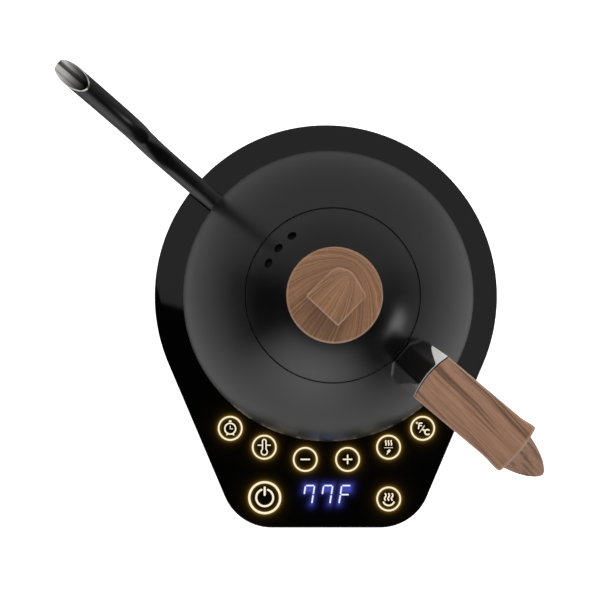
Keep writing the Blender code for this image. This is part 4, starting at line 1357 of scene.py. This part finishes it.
def make_grip(wood):
    rings = []
    for index, (top, bottom) in enumerate(zip(*grip_edges(GRIP_ROWS))):
        middle = (top + bottom) / 2.0
        half_height = (top - bottom).length / 2.0
        rise = (top - bottom).normalized()
        radius = 0.0030 - 0.0019 * ease(top.y, 0.120, 0.146)
        round_up = min(0.95, radius / half_height)
        round_across = radius / GRIP_HALF_WIDTH
        ring = []
        for across, up in rounded_square(round_across, round_up, 5, 8):
            point = middle + rise * half_height * up
            side = across * grip_half_width(point.x, point.y)
            at_front = bow(side) * (1.0 - ease(index, 0, 12))
            at_lip = LIP_BOW * (1.0 - across ** 2) * ease(point.x, 0.093, 0.101) * ease(point.y, 0.125, 0.142)
            lean = GRIP_ARM_LEAN * (1.0 - ease(point.y, 0.060, 0.115))
            ring.append(handle_point(point.x - at_front + at_lip, side + lean, point.y))
        rings.append(ring)
    finish_piece(skin("grip", rings, caps=True), "kettle", [wood], "walnut", "handle_grip")


def make_inner_parts(finishes):
    """What shows inside the vessel and under the kettle when it is opened or lifted."""
    steel = finishes["turned"]
    rim = 0.0722
    top = 0.0380
    plate = rounded([
        (0.0, top, 0.0), (0.030, top, 0.004), (0.034, top - 0.0004, 0.004), (0.056, top - 0.0004, 0.004),
        (0.060, top, 0.004), (rim, top, 0.0010), (rim - 0.0002, 0.0330, 0.0002), (rim - 0.0014, 0.0330, 0.0002),
        (rim - 0.0014, top - 0.0014, 0.0006), (0.0, top - 0.0014, 0.0),
    ], closed=False)
    heater = revolve("heater_disc", plate, STEPS, False)
    boolean(heater, rod("sensor_bore", 0.0033, (0.0, -0.030, 0.030), (0.0, -0.030, 0.045)))
    finish_piece(heater, "kettle", [steel], "bare_steel", "heater_plate")
    sensor = rounded([
        (0.0, 0.0430, 0.0), (0.0030, 0.0430, 0.0014), (0.0030, 0.0362, 0.0), (0.0055, 0.0362, 0.0004),
        (0.0055, 0.0340, 0.0004), (0.0030, 0.0340, 0.0), (0.0030, 0.0325, 0.0003), (0.0, 0.0325, 0.0),
    ], closed=False)
    probe = revolve("sensor_probe", sensor, 64, False, (0.0, -0.030))
    finish_piece(probe, "kettle", [steel], "bare_steel", "temperature_sensor")
    low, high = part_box("mouth_ring")
    seat = 0.1350
    wall = 0.0009
    ring = rounded([
        (SEAT_RADIUS + 0.0003, seat + wall, 0.0001), (SEAT_RADIUS + wall, seat + 0.0002, 0.0001),
        (SEAT_RADIUS + wall, seat - wall, 0.0002), (0.0359, seat - wall, 0.0004), (0.0359, low.z, 0.0003),
        (0.0350, low.z, 0.0003), (0.0350, seat, 0.0008), (SEAT_RADIUS, seat, 0.0001),
        (SEAT_RADIUS, seat + wall, 0.0001),
    ])
    finish_piece(revolve("seat_ring", ring), "kettle", [steel], "bare_steel", "mouth_ring")


def make_kettle_underside(finish):
    recess = 0.0318
    profile = rounded([
        (0.0683, 0.0300, 0.0003), (0.0683, 0.0235, 0.0008), (recess, 0.0235, 0.0006), (recess, 0.0273, 0.0006),
        (0.0143, 0.0273, 0.0004), (0.0143, 0.0293, 0.0003), (0.0338, 0.0293, 0.0004), (0.0338, 0.0255, 0.0004),
        (0.0663, 0.0255, 0.0004), (0.0663, 0.0300, 0.0003),
    ])
    cover = revolve("kettle_underside", profile)
    for index in range(1, 4):
        centre = box_centre(f"cover_screw_{index}")
        boolean(cover, rod("recess", 0.0033, (centre.x, centre.y, 0.022), (centre.x, centre.y, 0.0247)))
    finish_piece(cover, "kettle", [finish], "black_plastic", "kettle_bottom_cover")


def make_connector(finish, contact):
    profile = rounded([
        (0.0200, 0.0316, 0.0003), (0.0200, 0.0296, 0.0003), (0.0128, 0.0296, 0.0004), (0.0128, 0.0185, 0.0008),
        (0.0092, 0.0185, 0.0008), (0.0092, 0.0296, 0.0004), (0.0038, 0.0296, 0.0003), (0.0038, 0.0316, 0.0003),
    ])
    skirt = revolve("connector_skirt", profile, 96)
    finish_piece(skirt, "connector", [finish], "black_plastic", "kettle_connector")
    pin = rounded([
        (0.0, 0.0330, 0.0), (0.0050, 0.0330, 0.0003), (0.0050, 0.0319, 0.0002), (0.0034, 0.0319, 0.0002),
        (0.0034, 0.0188, 0.0012), (0.0, 0.0188, 0.0),
    ], closed=False)
    finish_piece(revolve("centre_pin", pin, 64, False), "connector", [contact], "brass", "connector_pin")


# ---------------------------------------------------------------- lid

def lid_profile(count=36):
    """The lid's outer surface, from the flat crown down to its edge."""
    edge = (LID_RADIUS, JOINT_HEIGHT + 0.0003)
    pull = 0.0160
    return bezier(
        (LID_FLAT_RADIUS, LID_CROWN), (0.0205, LID_CROWN),
        (edge[0] - pull * math.cos(JOINT_SLOPE), edge[1] + pull * math.sin(JOINT_SLOPE)), edge, count,
    )


def make_lid(paint, steel, rubber, silicone):
    top = lid_profile()
    under = [point for point in offset_inward(top, BODY_WALL) if point.x < 0.0355]
    inside = LID_RADIUS - 0.0010
    edge = [Vector((LID_RADIUS, 0.1357)), Vector((LID_RADIUS - 0.0002, 0.1354)), Vector((inside, 0.1353)),
            Vector((inside, 0.1368))]
    hole = [Vector((SCREW_HOLE, LID_CROWN)), Vector((SCREW_HOLE, LID_CROWN - BODY_WALL))]
    profile = hole[:1] + top + edge + under[::-1] + hole[1:]
    shell = revolve("lid_dome", profile, 192)
    for index in (-1, 0, 1):
        azimuth = VENT_AZIMUTH + index * VENT_SPREAD
        outward = at_azimuth(azimuth, math.sin(VENT_TILT), math.cos(VENT_TILT))
        centre = at_azimuth(azimuth, VENT_PLACE, VENT_HEIGHT)
        boolean(shell, rod("vent", VENT_RADIUS, centre - outward * 0.006, centre + outward * 0.006))
    finish_piece(shell, "lid", [paint], "satin_black", "lid_shell")

    skirt = inside - 0.0003
    dish = rounded([
        (skirt, 0.1364, 0.0002), (skirt, 0.1354, 0.0002), (0.0337, 0.1354, 0.0003), (0.0337, 0.1325, 0.0008),
        (0.0028, 0.1325, 0.0), (0.0028, 0.1335, 0.0), (0.0327, 0.1335, 0.0005), (0.0327, 0.1364, 0.0003),
    ])
    plate = revolve("lid_underplate", dish)
    for index in (-1, 0, 1):
        place = at_azimuth(SPOUT_AZIMUTH + index * VENT_SPREAD, 0.0270)
        boolean(plate, rod("plate_vent", 0.0020, (place.x, place.y, 0.130), (place.x, place.y, 0.136), 32))
    # The plate's upward faces take the black paint, a dark sheet that stands in for the shade seen through the
    # vents: painted shade.
    for face in plate.data.polygons:
        face.material_index = int(face.normal.z > 0.5)
    finish_piece(plate, "lid", [steel, paint], "bare_steel", "lid_inner_plate")
    seal = rounded([
        (0.0347, 0.1351, 0.0002), (0.0347, 0.1328, 0.0006), (0.0340, 0.1328, 0.0001), (0.0340, 0.1351, 0.0001),
    ])
    finish_piece(revolve("seal_lip", seal), "lid", [silicone], "silicone", "lid_seal")
    washer = rounded([
        (0.0150, 0.1545, 0.0002), (0.0150, 0.1536, 0.0002), (0.0029, 0.1536, 0.0001), (0.0029, 0.1545, 0.0001),
    ])
    finish_piece(revolve("washer", washer, 96), "lid", [rubber], "rubber", "knob_washer")
    screw = rounded([
        (0.0, 0.1660, 0.0), (0.0022, 0.1660, 0.0005), (0.0022, 0.1322, 0.0002), (0.0045, 0.1322, 0.0002),
        (0.0045, 0.1305, 0.0012), (0.0, 0.1305, 0.0),
    ], closed=False)
    finish_piece(revolve("lid_screw", screw, 64, False), "lid", [steel], "bare_steel", "knob_screw")


# Corners of the finger piece seen from above, each with its rounding.
FINGER_PIECE = (
    (-0.0122, -0.0003, 0.0008), (0.0008, -0.0125, 0.0009), (0.0121, -0.0005, 0.0010),
    (0.0066, 0.0094, 0.0080), (0.0000, 0.0116, 0.0080),
)
# Height, radius of the disc, scale of the finger piece, and share of the finger piece.
KNOB_SECTIONS = (
    (0.1548, 0.0170, 0.8, 0.0), (0.1550, 0.0180, 0.8, 0.0), (0.1556, 0.0190, 0.8, 0.0),
    (0.1566, 0.0197, 0.8, 0.0), (0.1580, 0.0200, 0.8, 0.0), (0.1602, 0.0200, 0.8, 0.0),
    (0.1612, 0.01985, 0.8, 0.0), (0.1618, 0.0194, 0.8, 0.0), (0.1621, 0.0187, 0.8, 0.0),
    (0.1623, 0.0172, 0.8, 0.0), (0.1624, 0.0150, 0.78, 0.0), (0.1628, 0.0120, 0.75, 0.3),
    (0.1636, 0.0100, 0.72, 0.7), (0.1650, 0.0090, 0.69, 1.0), (0.1670, 0.0090, 0.68, 1.0),
    (0.1700, 0.0090, 0.72, 1.0), (0.1735, 0.0090, 0.83, 1.0), (0.1762, 0.0090, 0.95, 1.0),
    (0.1776, 0.0090, 1.0, 1.0), (0.1782, 0.0090, 0.99, 1.0), (0.1787, 0.0090, 0.96, 1.0),
    (0.1790, 0.0090, 0.915, 1.0),
)


def ray_reach(outline, angle):
    """Distance from the axis to a closed outline, in one direction."""
    ahead = Vector((math.cos(angle), math.sin(angle)))
    for start, end in zip(outline, outline[1:] + outline[:1]):
        before = ahead.x * start.y - ahead.y * start.x
        after = ahead.x * end.y - ahead.y * end.x
        if before <= 0.0 < after:
            return start.lerp(end, before / (before - after)).length
    return 0.0


def make_knob(wood):
    """A round disc that changes into a waisted finger piece with three corners and a rounded back."""
    count = 160
    outline = rounded(FINGER_PIECE, steps=10)
    reaches = [ray_reach(outline, 2.0 * math.pi * index / count) for index in range(count)]
    rings = []
    for height, disc, scale, share in smooth_path(KNOB_SECTIONS, 4):
        ring = []
        for index, reach in enumerate(reaches):
            angle = 2.0 * math.pi * index / count
            radius = disc + (reach * scale - disc) * min(1.0, max(0.0, share))
            ring.append(Vector((radius * math.cos(angle), radius * math.sin(angle), height)))
        rings.append(ring)
    finish_piece(skin("knob", rings, caps=True), "lid", [wood], "walnut", "lid_knob")


# ---------------------------------------------------------------- stage

CAMERA_PLACE = Vector((-0.0143, -0.0020, 0.5700))
FOCAL_IN_PIXELS = 992.0
FRAME_PIXELS = 600.0
SENSOR = 36.0


# Light: a half space of grey wall behind the kettle, a dim floor, a tall strip and a lamp near the horizon.
WALL_TURN = math.radians(15.4)
WALL_LEAN = 0.0392
WALL_LEVEL = 0.47
FRONT_LEVEL = 0.004
FLOOR_LEVELS = ((0.019, 0.15), (0.051, 0.22), (0.106, 0.28), (0.192, 0.33), (0.297, 0.34), (0.413, 0.26))
STRIP_AZIMUTH = math.radians(256.0)
STRIP_LEVEL = 1.62
LAMP_PLACE = (math.radians(337.0), math.radians(7.0))
LAMP_SPREAD = (math.radians(14.0), math.radians(6.0))
LAMP_LEVEL = 3.5
KEY_ELEVATION = math.radians(50.0)


def make_camera():
    data = bpy.data.cameras.new("camera")
    data.sensor_width = SENSOR
    data.lens = SENSOR * FOCAL_IN_PIXELS / FRAME_PIXELS
    data.clip_start = 0.01
    data.clip_end = 20.0
    camera = bpy.data.objects.new("camera", data)
    camera.location = CAMERA_PLACE
    bpy.context.scene.collection.objects.link(camera)
    bpy.context.scene.camera = camera


def make_area_light(name, place, target, size, radiance):
    data = bpy.data.lights.new(name, 'AREA')
    data.shape = 'RECTANGLE'
    data.size, data.size_y = size
    data.energy = radiance * math.pi * size[0] * size[1]
    light = bpy.data.objects.new(name, data)
    light.location = place
    light.rotation_euler = (Vector(target) - Vector(place)).to_track_quat('-Z', 'Y').to_euler()
    light.visible_glossy = False
    light.visible_camera = False
    bpy.context.scene.collection.objects.link(light)


def make_lights():
    """A key light from the rear right and a fill above, both left out of reflections."""
    key = at_azimuth(math.radians(60.0), 1.5 * math.cos(KEY_ELEVATION), 1.5 * math.sin(KEY_ELEVATION))
    make_area_light("key", key, (0.0, 0.0, 0.05), (1.0, 1.0), 3.9)
    make_area_light("fill", (-0.1, -0.1, 1.5), (0.0, 0.0, 0.05), (1.4, 1.4), 1.1)


def make_world():
    """Studio surroundings: a grey wall behind, a tall strip, a lamp near the horizon, and a dim floor below."""
    world = bpy.data.worlds.new("studio")
    world.use_nodes = True
    graph = Graph(world.node_tree)
    direction = graph.add("ShaderNodeTexCoord").outputs["Generated"]
    x, y, z = graph.split(direction)
    level = graph.vector('NORMALIZE', graph.join(x, y))

    def facing(azimuth):
        """How much the level direction points to an azimuth, from -1 to 1."""
        return graph.vector('DOT_PRODUCT', level, tuple(at_azimuth(azimuth, 1.0)))

    behind = graph.vector('DOT_PRODUCT', direction, (math.sin(WALL_TURN), math.cos(WALL_TURN), WALL_LEAN))
    wall = graph.span(behind, -0.002, 0.002, FRONT_LEVEL, WALL_LEVEL)
    wall_end = graph.span(facing(math.radians(85.0)), 0.20, 0.60, 0.34, 1.0)
    low = graph.span(z, 0.95, 0.75, 0.0, 1.0)
    dimmed = graph.math('MULTIPLY_ADD', low, graph.math('SUBTRACT', wall_end, 1.0), 1.0)
    wall = graph.math('MULTIPLY', wall, dimmed)
    strip = graph.span(facing(STRIP_AZIMUTH), math.cos(math.radians(46.0)), 1.0, 0.0, STRIP_LEVEL)
    strip = graph.math('MULTIPLY', strip, graph.span(z, 0.45, 0.93, 1.0, 0.0))
    strip = graph.math('MULTIPLY', strip, graph.span(z, -0.49, -0.17, 0.0, 1.0))

    height = graph.math('MULTIPLY_ADD', z, 0.5, 0.5)
    below = graph.ramp(height, *[(position, (tone, tone, tone)) for position, tone in FLOOR_LEVELS])
    side = graph.math('MULTIPLY_ADD', facing(math.radians(75.0)), -0.36, 1.16)
    right = graph.span(facing(math.radians(-12.0)), math.cos(math.radians(50.0)), 1.0, 0.0, 0.35)
    below = graph.mix(1.0, below, graph.math('ADD', side, right), 'MULTIPLY')

    horizon = graph.span(z, -0.46, -0.24, 0.0, 1.0)
    total = graph.mix(1.0, graph.mix(horizon, below, wall), strip, 'ADD')
    azimuth, elevation = LAMP_PLACE
    toward_lamp = tuple(at_azimuth(azimuth, math.cos(elevation), math.sin(elevation)))
    near = graph.vector('DOT_PRODUCT', direction, toward_lamp)
    edge, core = LAMP_SPREAD
    lamp = graph.span(near, math.cos(edge), math.cos(core), 0.0, LAMP_LEVEL)
    background = graph.tree.nodes["Background"]
    graph.feed(background.inputs["Color"], graph.mix(1.0, total, lamp, 'ADD'))
    bpy.context.scene.world = world


def make_floor():
    body = bmesh.new()
    bmesh.ops.create_grid(body, x_segments=8, y_segments=8, size=3.0)
    floor = to_piece("floor", body)
    graph = Finish("pale_floor", (0.90, 0.90, 0.90), 0.8)
    tone = graph.noise(2.0, 2.0)
    graph.mottle(tone, (0.895, 0.895, 0.895), (0.905, 0.905, 0.905))
    graph.set("Emission Color", (1.0, 1.0, 1.0, 1.0))
    graph.set("Emission Strength", 0.9)
    floor.data.materials.append(graph.material)
    floor.visible_glossy = False


# ---------------------------------------------------------------- nodes that keep their CAD mesh

def paint_nodes(finishes):
    """Materials for the frame's own nodes that stay as they are."""
    painted = {
        "board": ["control_board", "power_board"],
        "component": ["display_module", "relay", "filter_capacitor", "buzzer", "thermal_cutout"],
        "tape": ["transformer"],
        "green": ["terminal_block"],
        "steel": ["heating_element", "handle_stud"],
        "brass": ["element_terminal_1", "element_terminal_2", "handle_insert"],
        "guide": [f"key_light_guide_{index}" for index in range(1, 9)],
    }
    for finish, names in painted.items():
        for name in names:
            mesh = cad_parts[name].data
            mesh.materials.clear()
            mesh.materials.append(finishes[finish])


def make_finishes(marks, display):
    apex = math.radians(55.0)
    return {
        "paint": satin_black(),
        "glass": gloss_black(marks, display),
        "plastic": moulded_black(),
        "steel": brushed_steel(),
        "turned": brushed_steel("turned_steel", turned=True),
        "silver": steel_with_painted_light(math.radians(60.0)),
        "mouth": drawn_steel(SPOUT_AZIMUTH, MOUTH_END),
        "brass": turned_brass(),
        "rubber": soft_rubber("black_rubber", (0.010, 0.010, 0.010), (0.020, 0.020, 0.020), 0.75),
        "silicone": soft_rubber("grey_silicone", (0.36, 0.36, 0.35), (0.46, 0.46, 0.45), 0.55),
        "board": circuit_board(),
        "component": moulded("component", (0.020, 0.020, 0.022), (0.045, 0.045, 0.048)),
        "green": moulded("terminal_green", (0.02, 0.16, 0.06), (0.04, 0.24, 0.10)),
        "tape": winding_tape(),
        "guide": light_guide(),
        "mark": lit("warm_light", (1.0, 0.89, 0.63), 1.02),
        "readout": lit("cool_light", (0.82, 0.85, 1.0), 1.1),
        "grip": walnut_along("walnut", HANDLE_AZIMUTH - math.radians(6.0)),
        "knob": walnut_end_grain(Vector((0.0046, 0.0072)), apex),
    }


def main():
    make_camera()
    make_world()
    make_lights()
    make_floor()
    marks = key_marks()
    centre = box_centre("display_module")
    finishes = make_finishes(marks, centre)
    make_housing(finishes["plastic"])
    make_touch_panel(finishes["glass"])
    make_underside(finishes["plastic"])
    make_feet(finishes["rubber"])
    for index in range(1, 5):
        make_screw(f"base_screw_{index}", 0.0027, 0.0027, 0.0016, 0.0014, "base", finishes["steel"],
                   f"case_screw_{index}")
    make_dock(finishes["plastic"], finishes["brass"])
    make_cord_gland(finishes["rubber"])
    make_key_marks(marks, finishes["mark"])
    make_readout(readout_segments(centre), finishes["readout"])
    make_shell(finishes["paint"], finishes["turned"])
    make_spout(finishes["paint"], finishes["mouth"])
    make_bracket(finishes["paint"])
    make_ferrule(finishes["silver"])
    make_grip(finishes["grip"])
    make_inner_parts(finishes)
    make_kettle_underside(finishes["plastic"])
    for index in range(1, 4):
        make_screw(f"cover_screw_{index}", 0.0029, 0.0244, 0.0237, 0.0015, "kettle", finishes["steel"],
                   f"underside_screw_{index}")
    make_connector(finishes["plastic"], finishes["brass"])
    make_lid(finishes["paint"], finishes["turned"], finishes["rubber"], finishes["silicone"])
    make_knob(finishes["knob"])
    paint_nodes(finishes)
    bpy.context.scene.view_settings.view_transform = 'Standard'


main()
